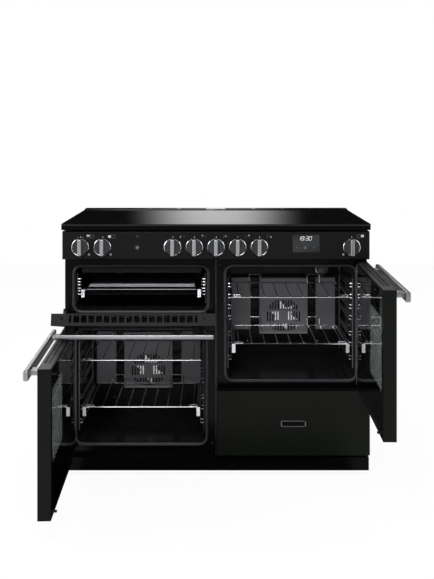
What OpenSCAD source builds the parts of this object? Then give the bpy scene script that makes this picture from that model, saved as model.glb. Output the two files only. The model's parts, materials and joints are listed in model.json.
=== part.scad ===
// Range cooker, 1100 mm wide: grill and fan oven on the left, tall-set fan oven over a drawer on
// the right, five-zone induction hob on top. +Z is up and the front faces -Y. The origin is on the
// floor, in the middle of the width, in the plane of the two oven front sheets.

/* [Body] */
// Distance that the side panels stand in from the ends of the hob
side_in = 4; // [3:0.5:7]
// Depth from the oven front plane to the back panel's outer face
body_d = 556; // [540:1:600]
// Height of the bottom sheet and of the plinth's top edge
base_z = 67; // [60:1:70]
// Thickness of the body's sheet steel
sheet = 1.5; // [1:0.1:2]
// Thickness of the enamelled oven front sheets
frame_t = 2; // [1.5:0.1:3]
// Depth of the chassis rails below the bottom sheet
rail_h = 27; // [20:1:32]
// Width of the chassis rails
rail_w = 40; // [34:1:50]
// Distance of the front rail behind the oven front plane
rail_y = 20; // [16:1:40]
// Wall of the chassis rails
rail_wall = 2; // [1.5:0.1:3]
// Distance of the feet from the side panels' outer faces
foot_in = 66; // [50:1:140]
// Diameter of a foot's pad
pad_d = 38; // [30:1:44]
// Thickness of a foot's pad
pad_h = 8; // [6:1:14]
// Diameter of a foot's threaded stud
stud_d = 12; // [10:1:14]
// Bottom edge of the plinth
plinth_z = 19; // [10:1:30]
// Distance of the plinth's face in front of the oven front plane
plinth_y = 30; // [24:1:40]
// Spacing of the two stability bracket holes
bracket_pitch = 80; // [60:1:120]
// Diameter of the stability bracket holes
bracket_hole_d = 6; // [4:0.5:8]
// Diameter of the cable entry in the back panel
cable_d = 25; // [20:1:30]

/* [Hob] */
// Width of the hob
hob_w = 1100; // [1096:1:1104]
// Depth of the hob
hob_d = 600; // [590:1:604]
// Distance of the hob's front edge in front of the oven front plane
hob_front = 62.5; // [58:0.5:64]
// Height of the glass above the floor
hob_top = 905; // [900:1:915]
// Thickness of the hob glass
glass_t = 6; // [4:0.5:6]
// Height of the metal rim under the glass
rim_h = 15; // [12:1:16]
// Corner radius of the glass
hob_r = 6; // [3:0.5:12]
// Depth of the vent strip behind the glass
vent_d = 59; // [50:1:64]
// Height of the vent strip above the glass
vent_rise = 3; // [2:0.5:6]
// Distance of the outermost vent slots from the ends of the hob
vent_end = 32; // [20:1:60]
// Width of the bars between the vent slots
vent_bar = 16; // [10:1:24]
// Width of the plain middle of the vent strip
vent_middle = 81; // [60:1:100]
// Depth of the coil pan
pan_h = 52; // [46:1:56]
// Radii of the five coils, from left to right
coil_r = [105, 80, 130, 80, 105];

/* [Control panel] */
// Bottom edge of the control panel
panel_z = 778.5; // [776:0.5:782]
// Height of the control panel
panel_h = 99.5; // [97:0.5:102]
// Distance of the panel's face in front of the oven front plane
panel_y = 55; // [50:1:58]
// Thickness of the control panel
panel_t = 2; // [1.5:0.1:3]
// Edge radius of the control panel
panel_r = 4; // [3:0.5:8]
// Height of the knobs' middles above the floor
knob_z = 822.6; // [820:0.2:826]
// Distance between the five hob knobs
knob_pitch = 77; // [72:0.5:79]
// Outer diameter of the chrome ring round a knob
ring_d = 62; // [58:1:66]
// Width of the chrome ring
ring_w = 3; // [2:0.5:4]
// Height of the chrome ring
ring_h = 6; // [4:0.5:8]
// Length of a knob's grip bar
grip_l = 58; // [50:1:62]
// Width of a knob's grip bar
grip_w = 13.5; // [10:0.5:16]
// Distance of the grip bar's face from the panel
grip_h = 28; // [24:1:34]
// Diameter of a knob's shaft
shaft_d = 6; // [5:0.5:8]
// Diameter of the oven light button
button_d = 19.4; // [16:0.2:22]
// Travel of the oven light button
button_travel = 3; // [2:0.5:4]
// Width of the clock's glass
clock_w = 95; // [80:1:100]
// Height of the clock's glass
clock_h = 63; // [50:1:66]
// Diameter of an indicator lamp
lamp_d = 8; // [6:0.5:10]

/* [Doors] */
// Distance that the closed doors reach past the side panels
door_over = 1.5; // [0.5:0.5:2]
// Gap between neighbouring doors, and between the right door and the drawer
door_gap = 5; // [4:0.5:8]
// Thickness of a door
door_t = 40; // [38:0.5:42]
// Distance between a closed door and the oven front plane
door_stand = 12; // [11:0.5:14]
// Height of an oven door
door_h = 450; // [446:1:450]
// Bottom edge of the left oven door and of the drawer front
left_door_z = 81; // [79:0.5:82]
// Top edge of the right oven door and of the grill door
door_top = 765; // [763:0.5:767]
// Wall of the door casings
skin = 3; // [2:0.1:3.5]
// Thickness of the door glass
pane_t = 4; // [3:0.5:5]
// Angle at which the left door stands open
left_open = 88.3; // [60:0.1:92]
// Angle at which the right door stands open
right_open = 89; // [60:0.1:92]
// Angle at which the grill door stands open
grill_open = 76; // [60:0.5:76]
// Width of the window in an oven door
window_w = 330; // [260:1:380]
// Height of the window in an oven door
window_h = 240; // [180:1:260]
// Distance of the oven door hinge pins from the door's outer edge
pivot_in = 21.5; // [20:0.5:24]
// Distance of the oven door hinge pins from the door's inner face
pivot_deep = 22; // [20:0.5:24]
// Diameter of the oven door hinge pins
pin_d = 8; // [6:0.5:9]
// Diameter of the grill door hinge pins
grill_pin_d = 6; // [4:0.5:7]
// Thickness of the hinge plates
plate_t = 3; // [2:0.5:4]
// Diameter of the oven door catch studs
catch_d = 8; // [6:0.5:9]
// Depth of a handle bar
bar_t = 16; // [12:0.5:20]
// Height of a handle bar
bar_h = 31; // [24:1:34]
// Finger gap between a handle bar and its door
bar_gap = 28; // [24:1:32]
// Distance of a handle bar's middle from the door's top
bar_drop = 23; // [20:1:30]

/* [Drawer] */
// Depth of the drawer box
drawer_d = 430; // [380:1:460]
// Height of the drawer box
drawer_box_h = 160; // [120:1:170]
// Width of the bare badge plate
badge_w = 88; // [60:1:100]
// Height of the bare badge plate
badge_h = 22; // [14:1:26]

/* [Ovens] */
// Distance of each oven's middle from the middle of its front sheet
oven_in = 3; // [1:0.5:5]
// Width of the front sheet beside an oven's mouth
cavity_rim = 44; // [43:0.5:47]
// Height of an oven cavity
cavity_h = 402; // [396:1:403]
// Depth of an oven cavity
cavity_d = 372; // [360:1:390]
// Corner radius of the cavities
cavity_r = 20; // [12:1:30]
// Floor of the left oven cavity
left_oven_z = 111; // [109:0.5:113]
// Floor of the right oven cavity
right_oven_z = 340; // [338:0.5:344]
// Height of the left fan above its oven floor
left_fan_z = 170; // [160:1:180]
// Height of the right fan above its oven floor
right_fan_z = 157; // [150:1:180]
// Distance that the grill cavity is wider than the ovens
grill_more = 12; // [6:1:14]
// Height of the grill cavity
grill_h = 152; // [146:1:152]
// Floor of the grill cavity
grill_z = 588; // [586:0.5:590]
// Width of the door seals
seal_w = 10; // [8:0.5:11]
// Depth of a fan cover
cover_d = 52; // [46:1:56]
// Radius of a fan
fan_r = 56; // [46:1:58]
// Heights of the seven shelf levels above an oven floor
levels = [72, 121, 160, 217.5, 257, 295, 335];
// Distance between the two wires of a shelf level
level_gap = 12; // [11:0.5:13]
// Diameter of the side rack wires
rack_d = 4; // [3:0.5:4.5]
// Diameter of a shelf's front rod
front_rod_d = 6; // [5:0.5:7]
// Diameter of a shelf's frame rods
shelf_rod_d = 5; // [4:0.5:5.5]
// Diameter of a shelf's wires
wire_d = 3.5; // [2.5:0.5:4]
// Depth of a shelf
shelf_d = 288; // [270:1:292]
// Distance of a shelf's outermost wires from the rack's rungs
wire_in = 26.5; // [22:0.5:40]
// Travel of the telescopic slides
slide_travel = 260; // [200:10:260]
// Depth of the grill pan
grill_pan_h = 24; // [18:1:24]
// Number of thin rods on the grill trivet
trivet_rods = 15; // [11:1:30]
// Diameter of the thin rods on the grill trivet
trivet_rod_d = 3; // [2:0.5:4]

/* [Hidden] */

$fn = 48;
seat = 0.3;          // clearance of pieces that rest on or run beside each other
run = 0.06;          // radial clearance of a shaft or pin in its bore
side_x = hob_w / 2 - side_in;                 // outer faces of the side panels
back_y = body_d - sheet;
panel_top = panel_z + panel_h;
frame_top = panel_z - 2;
rim_z = hob_top - glass_t - rim_h;
tray_z = hob_top - glass_t;
foot_x = side_x - foot_in;
cable_x = 106 - side_x;
cable_z = 140;
louvre_w = 140;
louvre_pitch = 300;
louvre_rows = 8;
louvre_step = 18;
louvre_z = 600;
glass_back = hob_d - hob_front - vent_d - 0.5;
vent_pitch = (hob_w / 2 - vent_end + vent_bar / 2) / 4.275;
pan_half = side_x - 36;
coil_x = pan_half - 135;
pan_front = frame_t + 8;
pan_z = tray_z - 2 - pan_h;
oven_knob_x = side_x - 64;
knob_x = [-oven_knob_x, -oven_knob_x + 78.5, -2 * knob_pitch, -knob_pitch, 0, knob_pitch,
    2 * knob_pitch, oven_knob_x];
lamp_x = [-oven_knob_x + 30.5, -oven_knob_x + 108, oven_knob_x - 29.5];
lamp_z = 796;
button_x = -oven_knob_x + 202.5;
clock_x = 320;
clock_z = 835.5;
inner_y = -door_stand;                      // inner face of the closed doors
outer_y = inner_y - door_t;                 // outer face of the closed doors
edge_x = side_x + door_over;                // outer edge of the closed doors
door_w = edge_x - door_gap / 2;
right_door_z = door_top - door_h;
grill_door_z = left_door_z + door_h + door_gap;
grill_door_h = door_top - grill_door_z;
drawer_z = left_door_z;
drawer_h = right_door_z - door_gap - drawer_z;
oven_x = side_x / 2 - oven_in;
cavity_w = side_x - 2 * cavity_rim;
grill_w = cavity_w + grill_more;
door_mid = (door_gap / 2 + edge_x) / 2;
pivot = [edge_x - pivot_in, inner_y - pivot_deep];
grill_pivot = [inner_y - 32, grill_door_z + 8.5];
notch_h = 7;                                // depth of the door's cut-outs for the hinge plates
arm_r = 11;                                 // half width of an oven hinge plate
grill_arm_r = 5.5;
hinge_round = 10;                           // inner corner radius of a door beside its hinge
grill_x = -oven_x - 0.5;
grill_hinge_x = [-door_mid - door_w / 2 + 15.5, -door_mid + door_w / 2 - 15.5];
catch_x = door_gap / 2 + 11;
catch_len = 16;
oven_catch_z = [25, door_h - 18];
grill_catch_x = [grill_x - grill_w / 2, grill_x + grill_w / 2];
grill_catch_z = grill_door_z + grill_door_h - 5;
rung_x = cavity_w / 2 - 14.5;
grill_rung_x = grill_w / 2 - 16.5;
rack_front = 12;
rack_back = 284;
runner_x = rung_x - rack_d / 2 - seat;      // outer face of the fixed runners
grill_runner_x = grill_rung_x - rack_d / 2 - seat;
wire_pitch = (rung_x - wire_in) / 4;
slide_w = 12.5;
tab_t = 2.5;
shelf_front = 2;
upper_level = levels[5];
lower_level = levels[1];
runner_top = lower_level + 1 - seat;        // top flange of the oven slides
grill_runner_top = 658 - grill_z;
cover_y = cavity_d - cover_d;
cover_half = cavity_w / 2 - 22;
cover_side = 131;                           // inner edge of a fan cover's side panels
cover_low = -56;                            // lower edge of a fan cover's sides, from the fan
cover_top = 150;
cover_chin = -72;                           // lower edge of its raised middle
element_r = fan_r + 8;
element_legs = [-12, 12];
grill_element_z = grill_z + grill_h - 22;
grill_rows = 7;

function oven_z(side) = side < 0 ? left_oven_z : right_oven_z;
function fan_z(side) = side < 0 ? left_fan_z : right_fan_z;

// ---- drawing helpers ----

// Block between two opposite corners
module block(a, b) translate(a) cube(b - a);

// Round rod between two points
module rod(p, q, d) {
    v = q - p;
    translate(p) rotate([0, acos(v[2] / norm(v)), atan2(v[1], v[0])]) cylinder(h = norm(v), d = d);
}

// Cylinder along Y from y0 to y1
module bar_y(x, z, y0, y1, d) translate([x, y1, z]) rotate([90, 0, 0]) cylinder(h = y1 - y0, d = d);

// Rounded rectangle between two corners
module rounded(a, b, r) {
    translate([a[0] + r, a[1]]) square([b[0] - a[0] - 2 * r, b[1] - a[1]]);
    translate([a[0], a[1] + r]) square([b[0] - a[0], b[1] - a[1] - 2 * r]);
    for (x = [a[0] + r, b[0] - r], y = [a[1] + r, b[1] - r]) translate([x, y]) circle(r);
}

// A drawing in X and Z carried from y0 to y1
module along_y(y0, y1) translate([0, y1, 0]) rotate([90, 0, 0]) linear_extrude(y1 - y0) children();

// A drawing in Y and Z carried from x0 to x1
module along_x(x0, x1) translate([x0, 0, 0]) rotate([90, 0, 90]) linear_extrude(x1 - x0) children();

// Both hands of a piece that is drawn on the right
module both_sides() {
    children();
    mirror([1, 0, 0]) children();
}

// Origin at the middle of an oven's floor
module in_oven(side) translate([side * oven_x, 0, oven_z(side)]) children();

// Origin at the middle of the grill's floor
module in_grill() translate([grill_x, 0, grill_z]) children();

// ---- chassis and outer panels ----

// Bottom sheet, middle partition, and a front and a back rail that hold the feet
module base_frame() color("dimgray") difference() {
    union() {
        block([-side_x + sheet, frame_t, base_z], [side_x - sheet, back_y, base_z + 2]);
        block([-1, frame_t, base_z], [1, back_y, frame_top]);
        for (y = [rail_y, back_y - rail_w])
            difference() {
                block([-side_x + sheet, y, base_z - rail_h], [side_x - sheet, y + rail_w, base_z]);
                block([-side_x + sheet + rail_wall, y + rail_wall, base_z - rail_h - 1],
                    [side_x - sheet - rail_wall, y + rail_w - rail_wall, base_z - 0.5]);
            }
        for (p = foot_places()) translate([p[0], p[1], base_z - rail_h]) cylinder(h = rail_h, d = stud_d * 2);
    }
    for (p = foot_places())
        translate([p[0], p[1], base_z - rail_h - 1]) cylinder(h = rail_h - 3, d = stud_d + 4 * run);
    for (x = [-1, 1] * bracket_pitch / 2)
        bar_y(x, base_z - rail_h / 2, back_y - rail_wall - 1, back_y + 1, bracket_hole_d);
}

function foot_places() = [for (x = [-foot_x, foot_x], y = [rail_y + rail_w / 2, back_y - rail_w / 2]) [x, y]];

// Threaded feet with their lock nuts under the rails
module levelling_feet() color("black") for (p = foot_places()) translate([p[0], p[1], 0]) {
    cylinder(h = pad_h, d = pad_d);
    translate([0, 0, pad_h / 2]) cylinder(h = base_z - 10 - pad_h / 2, d = stud_d);
    translate([0, 0, base_z - rail_h - 8]) cylinder(h = 8, d = stud_d * 1.8, $fn = 6);
}

// The plinth's front, with a top flange back to the chassis and a return at each end
module plinth() color([0.04, 0.04, 0.04]) difference() {
    block([-side_x - 2, -plinth_y, plinth_z], [side_x + 2, rail_y, base_z]);
    block([-side_x - 2 + sheet, -plinth_y + sheet, plinth_z - 1],
        [side_x + 2 - sheet, rail_y + 1, base_z - sheet]);
}

// Side sheets, each with a flange along its top for the hob to stand on
module side_panels() color([0.05, 0.05, 0.05]) both_sides() {
    difference() {
        block([pan_half + 4, frame_t, base_z], [side_x, back_y, panel_top]);
        block([pan_half + 3, frame_t - 1, base_z - 1], [side_x - sheet, back_y + 1, panel_top - sheet]);
    }
}

// Back panel with a top flange, three groups of louvres and the cable entry
module back_panel() color("gray") difference() {
    union() {
        block([-side_x, back_y, base_z], [side_x, body_d, panel_top]);
        block([-pan_half - 4, glass_back + 30, panel_top - sheet], [pan_half + 4, back_y, panel_top]);
    }
    for (x = [-louvre_pitch, 0, louvre_pitch], i = [0 : louvre_rows - 1])
        block([x - louvre_w / 2, back_y - 1, louvre_z + i * louvre_step],
            [x + louvre_w / 2, body_d + 1, louvre_z + louvre_step / 3 + i * louvre_step]);
    bar_y(cable_x, cable_z, back_y - 1, body_d + 1, cable_d);
}

// Mains terminals under a cover that is open to the back panel
module terminal_box() color("gainsboro") {
    difference() {
        block([cable_x - 60, back_y - 55, cable_z - 40], [cable_x + 60, back_y, cable_z + 40]);
        block([cable_x - 57, back_y - 52, cable_z - 37], [cable_x + 57, back_y + 1, cable_z + 37]);
    }
    for (i = [-2 : 2])
        block([cable_x - 8 + i * 18, back_y - 52, cable_z + 18],
            [cable_x + 8 + i * 18, back_y - 34, cable_z + 34]);
}

// Outline of a cavity, grown on every side
module grown_mouth(w, h, grow) rounded([-w / 2 - grow, -grow], [w / 2 + grow, h + grow], cavity_r + grow);

// Opening of one cavity in its front sheet
module mouth(x, z, w, h) translate([x, z]) grown_mouth(w, h, 0);

// Enamelled front sheets with the mouths of the cavities and the holes of the door catches
module left_front_frame() color([0.05, 0.055, 0.065]) difference() {
    block([-side_x, 0, base_z], [-0.5, frame_t, frame_top]);
    along_y(-1, frame_t + 1) {
        mouth(-oven_x, left_oven_z, cavity_w, cavity_h);
        mouth(grill_x, grill_z, grill_w, grill_h);
    }
    for (z = oven_catch_z) bar_y(-catch_x, left_door_z + z, -1, frame_t + 1, catch_d + 5);
    for (x = grill_catch_x) bar_y(x, grill_catch_z, -1, frame_t + 1, catch_d + 2);
}

module right_front_frame() color([0.05, 0.055, 0.065]) difference() {
    block([0.5, 0, base_z], [side_x, frame_t, frame_top]);
    along_y(-1, frame_t + 1) mouth(oven_x, right_oven_z, cavity_w, cavity_h);
    block([12, -1, drawer_z + 7], [side_x - 10, frame_t + 1, drawer_z + drawer_h - 5]);
    for (z = oven_catch_z) bar_y(catch_x, right_door_z + z, -1, frame_t + 1, catch_d + 5);
}

// ---- cavities ----

// Enamelled liner: a tube with a front flange and a closed back
module liner(x, z, w, h) translate([x, 0, z]) difference() {
    union() {
        along_y(frame_t, cavity_d + sheet) grown_mouth(w, h, sheet);
        along_y(frame_t, frame_t + sheet) grown_mouth(w, h, 13);
    }
    along_y(frame_t - 1, cavity_d) grown_mouth(w, h, 0);
}

// Oven liner with the holes for its fan shaft and the tails of its ring element
module oven_liner(side) difference() {
    liner(side * oven_x, oven_z(side), cavity_w, cavity_h);
    in_oven(side) translate([0, 0, fan_z(side)]) {
        bar_y(0, 0, cavity_d - 1, cavity_d + sheet + 1, 16);
        for (x = element_legs) bar_y(x, -element_r, cavity_d - 1, cavity_d + sheet + 1, 9);
    }
}

module left_oven_liner() color([0.06, 0.06, 0.065]) oven_liner(-1);
module right_oven_liner() color([0.06, 0.06, 0.065]) oven_liner(1);

// The grill cavity has a heat shield hanging across the top of its mouth
module grill_liner() color([0.06, 0.06, 0.065]) {
    difference() {
        liner(grill_x, grill_z, grill_w, grill_h);
        translate([grill_x, 0, grill_element_z])
            for (x = [-40, 40]) bar_y(x, 0, cavity_d - 1, cavity_d + sheet + 1, 9);
    }
    block([grill_x - grill_w / 2 + cavity_r, 6, grill_z + grill_h - 18],
        [grill_x + grill_w / 2 - cavity_r, 7.5, grill_z + grill_h + sheet / 2]);
}

// Seal round a mouth: a wide foot on the front sheet and a narrower crown towards the door
module seal(x, z, w, h) translate([x, 0, z]) for (s = [[0, seal_w, 5], [2, seal_w - 4, door_stand - 0.5]])
    along_y(-s[2], 0) difference() {
        grown_mouth(w, h, 3 + s[0] + s[1]);
        grown_mouth(w, h, 3 + s[0]);
    }

module door_seals() color([0.2, 0.2, 0.21]) {
    seal(-oven_x, left_oven_z, cavity_w, cavity_h);
    seal(oven_x, right_oven_z, cavity_w, cavity_h);
    seal(grill_x, grill_z, grill_w, grill_h);
}

// Contour of a fan cover in plan: raised middle, deep slotted channels, side panels
module cover_plan(inset, back) {
    middle = 96 - inset;
    translate([-middle, cover_y + inset]) square([2 * middle, cavity_d + back - cover_y - inset]);
    for (s = [-1, 1]) translate([s > 0 ? cover_side + inset : -cover_half + inset, cover_y + 10 + inset])
        square([cover_half - cover_side - 2 * inset, cavity_d + back - cover_y - 10 - inset]);
    translate([-cover_half + inset, cover_y + 25 + inset])
        square([2 * cover_half - 2 * inset, cavity_d + back - cover_y - 25 - inset]);
}

// Slots of one column of the round grille, cut to the circle in three rows
module grille_slots() for (i = [-6 : 6], row = [[-62, -32], [-23, 16], [24, 62]]) {
    x = i * 10.6;
    reach = sqrt(pow(69, 2) - x * x);
    low = max(row[0], -reach);
    high = min(row[1], reach);
    if (high - low > 6 && (abs(i) > 1 || row[0] != -23))
        block([x - 2.8, cover_y - 1, low], [x + 2.8, cover_y + sheet + 1, high]);
}

// Enamelled cover over the fan and its element, with slots in its channels and a seam on each side
module fan_cover() difference() {
    union() {
        translate([0, 0, cover_low]) linear_extrude(cover_top - cover_low) cover_plan(0, 0);
        block([-96, cover_y, cover_chin], [96, cavity_d, cover_low + 1]);
    }
    translate([0, 0, cover_low + sheet])
        linear_extrude(cover_top - cover_low - 2 * sheet) cover_plan(sheet, 1);
    block([-96 + sheet, cover_y + sheet, cover_chin + sheet], [96 - sheet, cavity_d + 1, cover_low + 6]);
    grille_slots();
    // three columns of open slots down each channel
    for (s = [-1, 1], x = [103.5, 113.5, 123.5], z = [-40, 8, 56, 104])
        block([s * x - 4, cover_y + 24, z], [s * x + 4, cover_y + 28, z + 38]);
    both_sides() block([cover_side, cover_y + 9, -3], [cover_half + 2, cover_y + 10.6, -1]);
}

module fan_covers() color([0.2, 0.2, 0.21]) for (side = [-1, 1])
    in_oven(side) translate([0, 0, fan_z(side)]) fan_cover();

// A hairpin grill element in one flat run, with its two tails through the back
module grill_element() translate([grill_x, 0, grill_element_z - 3]) {
    pitch = 52;
    first = -pitch * (grill_rows - 1) / 2;
    linear_extrude(6) {
        for (i = [0 : grill_rows - 1]) translate([first + i * pitch - 3, 60]) square([6, 200]);
        for (i = [0 : grill_rows - 2]) translate([first + (i + 0.5) * pitch, i % 2 ? 60 : 260]) difference() {
            circle(pitch / 2 + 3);
            circle(pitch / 2 - 3);
            translate([-pitch, i % 2 ? 0 : -pitch]) square([2 * pitch, pitch]);
        }
        // the two ends run back on separate lines, and side by side through the liner
        for (s = [-1, 1]) {
            y = s > 0 ? 296 : 312;
            translate([s > 0 ? 37 : first - 3, y]) square([-first - 34, 6]);
            translate([s > 0 ? -first - 3 : first - 3, 250]) square([6, y + 6 - 250]);
            translate([s * 40 - 3, y]) square([6, cavity_d + 40 - y]);
        }
    }
}

// Two turns of rod round each fan, with legs out through the liner's back
module ring_element() {
    for (y = [cavity_d - 38, cavity_d - 22]) translate([0, y, 0]) rotate([90, 0, 0])
        rotate_extrude() translate([element_r, 0]) circle(d = 6);
    for (x = element_legs) bar_y(x, -element_r, cavity_d - 38, cavity_d + 25, 7);
}

module heating_elements() color("silver") {
    grill_element();
    for (side = [-1, 1]) in_oven(side) translate([0, 0, fan_z(side)]) ring_element();
}

// Fan with five arms, a ring of blades and its shaft
module fan() {
    y0 = cavity_d - 42;
    y1 = cavity_d - 20;
    bar_y(0, 0, y0, y1, 24);
    bar_y(0, 0, y0 - 3, cavity_d + 30, 8);
    for (a = [0 : 72 : 359]) rotate([0, a, 0]) block([-6, y1 - 2, 8], [6, y1, fan_r - 4]);
    along_y(y1 - 2, y1) difference() {
        circle(fan_r);
        circle(fan_r - 14);
    }
    for (a = [12 : 24 : 359]) rotate([0, a, 0]) translate([0, 0, fan_r - 9]) rotate([0, 28, 0])
        block([-1, y0, -8], [1, y1 - 1, 7]);
}

module left_fan() color("silver") in_oven(-1) translate([0, 0, left_fan_z]) fan();
module right_fan() color("silver") in_oven(1) translate([0, 0, right_fan_z]) fan();

// Round motor on a square plate behind the liner, with the bore for the fan's shaft
module fan_motor() difference() {
    union() {
        block([-45, 0, -45], [45, 2, 45]);
        bar_y(0, 0, 1, 50, 68);
    }
    bar_y(0, 0, -1, 32, 8 + 2 * run);
}

module fan_motors() color("gray") for (side = [-1, 1])
    in_oven(side) translate([0, cavity_d + sheet, fan_z(side)]) fan_motor();

// Lamp glass in its ring, high on the right of each oven's back wall
module oven_lamp() {
    bar_y(0, 0, -6, 0, 50);
    bar_y(0, 0, -14, -5, 40);
}

module oven_lamps() color("ivory") for (side = [-1, 1])
    in_oven(side) translate([157, cavity_d, fan_z(side) + cover_top + 28]) oven_lamp();

// ---- racks, runners and shelves ----

// Ladder rack on the right wall: pairs of rungs bent out to the front upright
module ladder(wall_x, heights, x) {
    low = min(heights) - 30;
    high = max(heights) + 22;
    front_x = wall_x - rack_d / 2 - seat;
    rod([front_x, rack_front, low], [front_x, rack_front, high], rack_d);
    rod([x + rack_d / 2 + 1.8, rack_back, low], [x + rack_d / 2 + 1.8, rack_back, high], rack_d + 1);
    for (z = heights) {
        rod([x, rack_front, z], [x, rack_back + 4, z], rack_d);
        rod([x - rack_d / 2, rack_front, z], [front_x, rack_front, z], rack_d);
    }
}

oven_rungs = [for (level = levels, s = [-1, 1]) level + s * level_gap / 2];
grill_rungs = [54, 65.5, 76, 88, 99, 110];

module side_racks() color("silver") {
    for (side = [-1, 1]) in_oven(side) both_sides() ladder(cavity_w / 2, oven_rungs, rung_x);
    in_grill() both_sides() ladder(grill_w / 2, grill_rungs, grill_rung_x);
}

// Section of the channel that a slide runs in, open towards the middle
module runner_section(x, top) difference() {
    translate([x - 8.5, top - 15]) square([8.5, 13.2]);
    translate([x - 9, top - 13.8]) square([9 - 1.2, 10.8]);
}

// Section of the slide: a bar in the channel, a web, and a flange over the channel
module slide_section(x, top) translate([x - slide_w, top]) {
    translate([0, -13.8 + seat]) square([slide_w - 1.2 - seat, 10.8 - 2 * seat]);
    translate([0, -13.8 + seat]) square([3, 13.8 - seat]);
    translate([0, -1.2]) square([slide_w - 1, 1.2]);
}

module runner(x, top) along_y(rack_front - 4, rack_back) runner_section(x, top);

// Slide with the bright upright tab on its front end
module slide(x, top, tab_h) {
    along_y(rack_front - 14, rack_back - 4) slide_section(x, top);
    along_y(rack_front - 14 - tab_t, rack_front - 14)
        translate([x - slide_w, top + 5 - tab_h]) square([slide_w, tab_h]);
}

// Channels fixed to the lower rungs on both sides of each cavity
module fixed_runners() color("silver") {
    for (side = [-1, 1]) in_oven(side) both_sides() runner(runner_x, runner_top);
    in_grill() both_sides() runner(grill_runner_x, grill_runner_top);
}

// Wire shelf with its frame's middle at height z and half its width to the side rods' middles
module wire_shelf(half, z) {
    back = shelf_front + shelf_d;
    wire_z = z + shelf_rod_d / 2 + wire_d / 2 - 0.8;
    rod([-half, shelf_front, z], [half, shelf_front, z], front_rod_d);
    rod([-half, back, z], [half, back, z], shelf_rod_d);
    for (s = [-1, 1]) {
        rod([s * half, shelf_front - 2, z], [s * half, back + 2, z], shelf_rod_d);
        // raised guard at each front corner
        rod([s * (half - 4), shelf_front, z], [s * (half - 4), shelf_front, z + 8], wire_d);
        rod([s * (half - 2), shelf_front, z + 8], [s * (half - 34), shelf_front, z + 8], wire_d);
        rod([s * (half - 32), shelf_front, z], [s * (half - 32), shelf_front, z + 8], wire_d);
        // raised loop that stops dishes at the back
        for (x = [92, 140]) rod([s * x, back, z], [s * x, back, z + 34], wire_d + 0.5);
        rod([s * 90, back, z + 33], [s * 142, back, z + 33], wire_d + 0.5);
    }
    for (i = [-4 : 4])
        rod([i * wire_pitch, shelf_front - 2, wire_z], [i * wire_pitch, back + 2, wire_z], wire_d);
}

// The upper shelf lies on a rung; the lower one has slides in the fixed runners
module upper_shelf(side) in_oven(side)
    wire_shelf(rung_x - 2, upper_level - level_gap / 2 + rack_d / 2 + seat + shelf_rod_d / 2);

module lower_shelf(side) in_oven(side) {
    wire_shelf(runner_x - slide_w + 5, runner_top + seat + front_rod_d / 2);
    both_sides() slide(runner_x, runner_top, 33);
}

module left_upper_shelf() color("gainsboro") upper_shelf(-1);
module right_upper_shelf() color("gainsboro") upper_shelf(1);
module left_lower_shelf() color("gainsboro") lower_shelf(-1);
module right_lower_shelf() color("gainsboro") lower_shelf(1);

grill_rod_z = grill_runner_top + seat + shelf_rod_d / 2;
pan_x = grill_w / 2 - 49;
pan_y = [20, cavity_d - 60];
carriage_y = [pan_y[0] - 14, pan_y[1] + 14];
carriage_half = grill_runner_x - slide_w + 5;
trivet_half = pan_x + 8;

// Wire carriage on its two slides, which carries the pan by its rim
module grill_carriage() color("gainsboro") in_grill() {
    back = carriage_y[1];
    z = grill_rod_z;
    for (s = [-1, 1]) {
        rod([s * carriage_half, shelf_front, z], [s * carriage_half, back + 4, z], shelf_rod_d);
        // raised loop at the back
        rod([s * 70, back, z], [s * 70, back, z + 30], wire_d);
    }
    rod([-72, back, z + 29], [72, back, z + 29], wire_d);
    for (y = carriage_y) rod([-carriage_half, y, z], [carriage_half, y, z], shelf_rod_d - 0.5);
    both_sides() slide(grill_runner_x, grill_runner_top, 29);
}

module pan_outline(grow, h) linear_extrude(h)
    rounded([-pan_x - grow, pan_y[0] - grow], [pan_x + grow, pan_y[1] + grow], 16 + grow);

// Enamelled pan that hangs by its rim on the carriage's side rods
module grill_pan() color([0.09, 0.09, 0.095]) in_grill() {
    rim = grill_rod_z + shelf_rod_d / 2 + seat;
    translate([0, 0, rim + 1.2 - grill_pan_h]) difference() {
        union() {
            pan_outline(0, grill_pan_h);
            translate([0, 0, grill_pan_h - 1.2]) linear_extrude(1.2)
                rounded([-pan_x - 23, pan_y[0] - 4], [pan_x + 23, pan_y[1] + 4], 16);
        }
        translate([0, 0, 1.2]) pan_outline(-1.2, grill_pan_h);
    }
}

// Wire grid that lies on the pan's rim: thin rods side by side across four bearers
module grill_trivet() color("darkgray") in_grill() {
    z = grill_rod_z + shelf_rod_d / 2 + seat + 1.2 + seat + shelf_rod_d / 2;
    for (x = [-trivet_half, -trivet_half / 3, trivet_half / 3, trivet_half])
        rod([x, pan_y[0] + 4, z], [x, pan_y[1] - 4, z], shelf_rod_d);
    for (y = [pan_y[0] + 8, pan_y[1] - 8])
        rod([-trivet_half - 2, y, z], [trivet_half + 2, y, z], shelf_rod_d - 0.5);
    step = (pan_y[1] - pan_y[0] - 32) / (trivet_rods - 1);
    for (i = [0 : trivet_rods - 1]) translate([0, pan_y[0] + 16 + i * step, z + 3])
        rod([-trivet_half - 1, 0, 0], [trivet_half + 1, 0, 0], trivet_rod_d);
}

// ---- doors ----

// Door in its closed place, as drawn on the right, turned open about its upright pins
module open_right() translate(pivot) rotate([0, 0, right_open]) translate(-pivot)
    translate([0, 0, right_door_z]) children();

module open_left() translate([-pivot[0], pivot[1], left_door_z]) rotate([0, 0, -left_open])
    translate([pivot[0], -pivot[1], 0]) mirror([1, 0, 0]) children();

// Plan of an oven door, with a large round inner corner that clears the seal as the door swings
module door_plan() {
    r = hinge_round;
    x0 = door_gap / 2;
    polygon([[x0, outer_y], [edge_x, outer_y], [edge_x, inner_y - r], [edge_x - r, inner_y], [x0, inner_y]]);
    translate([edge_x - r, inner_y - r]) circle(r);
}

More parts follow.
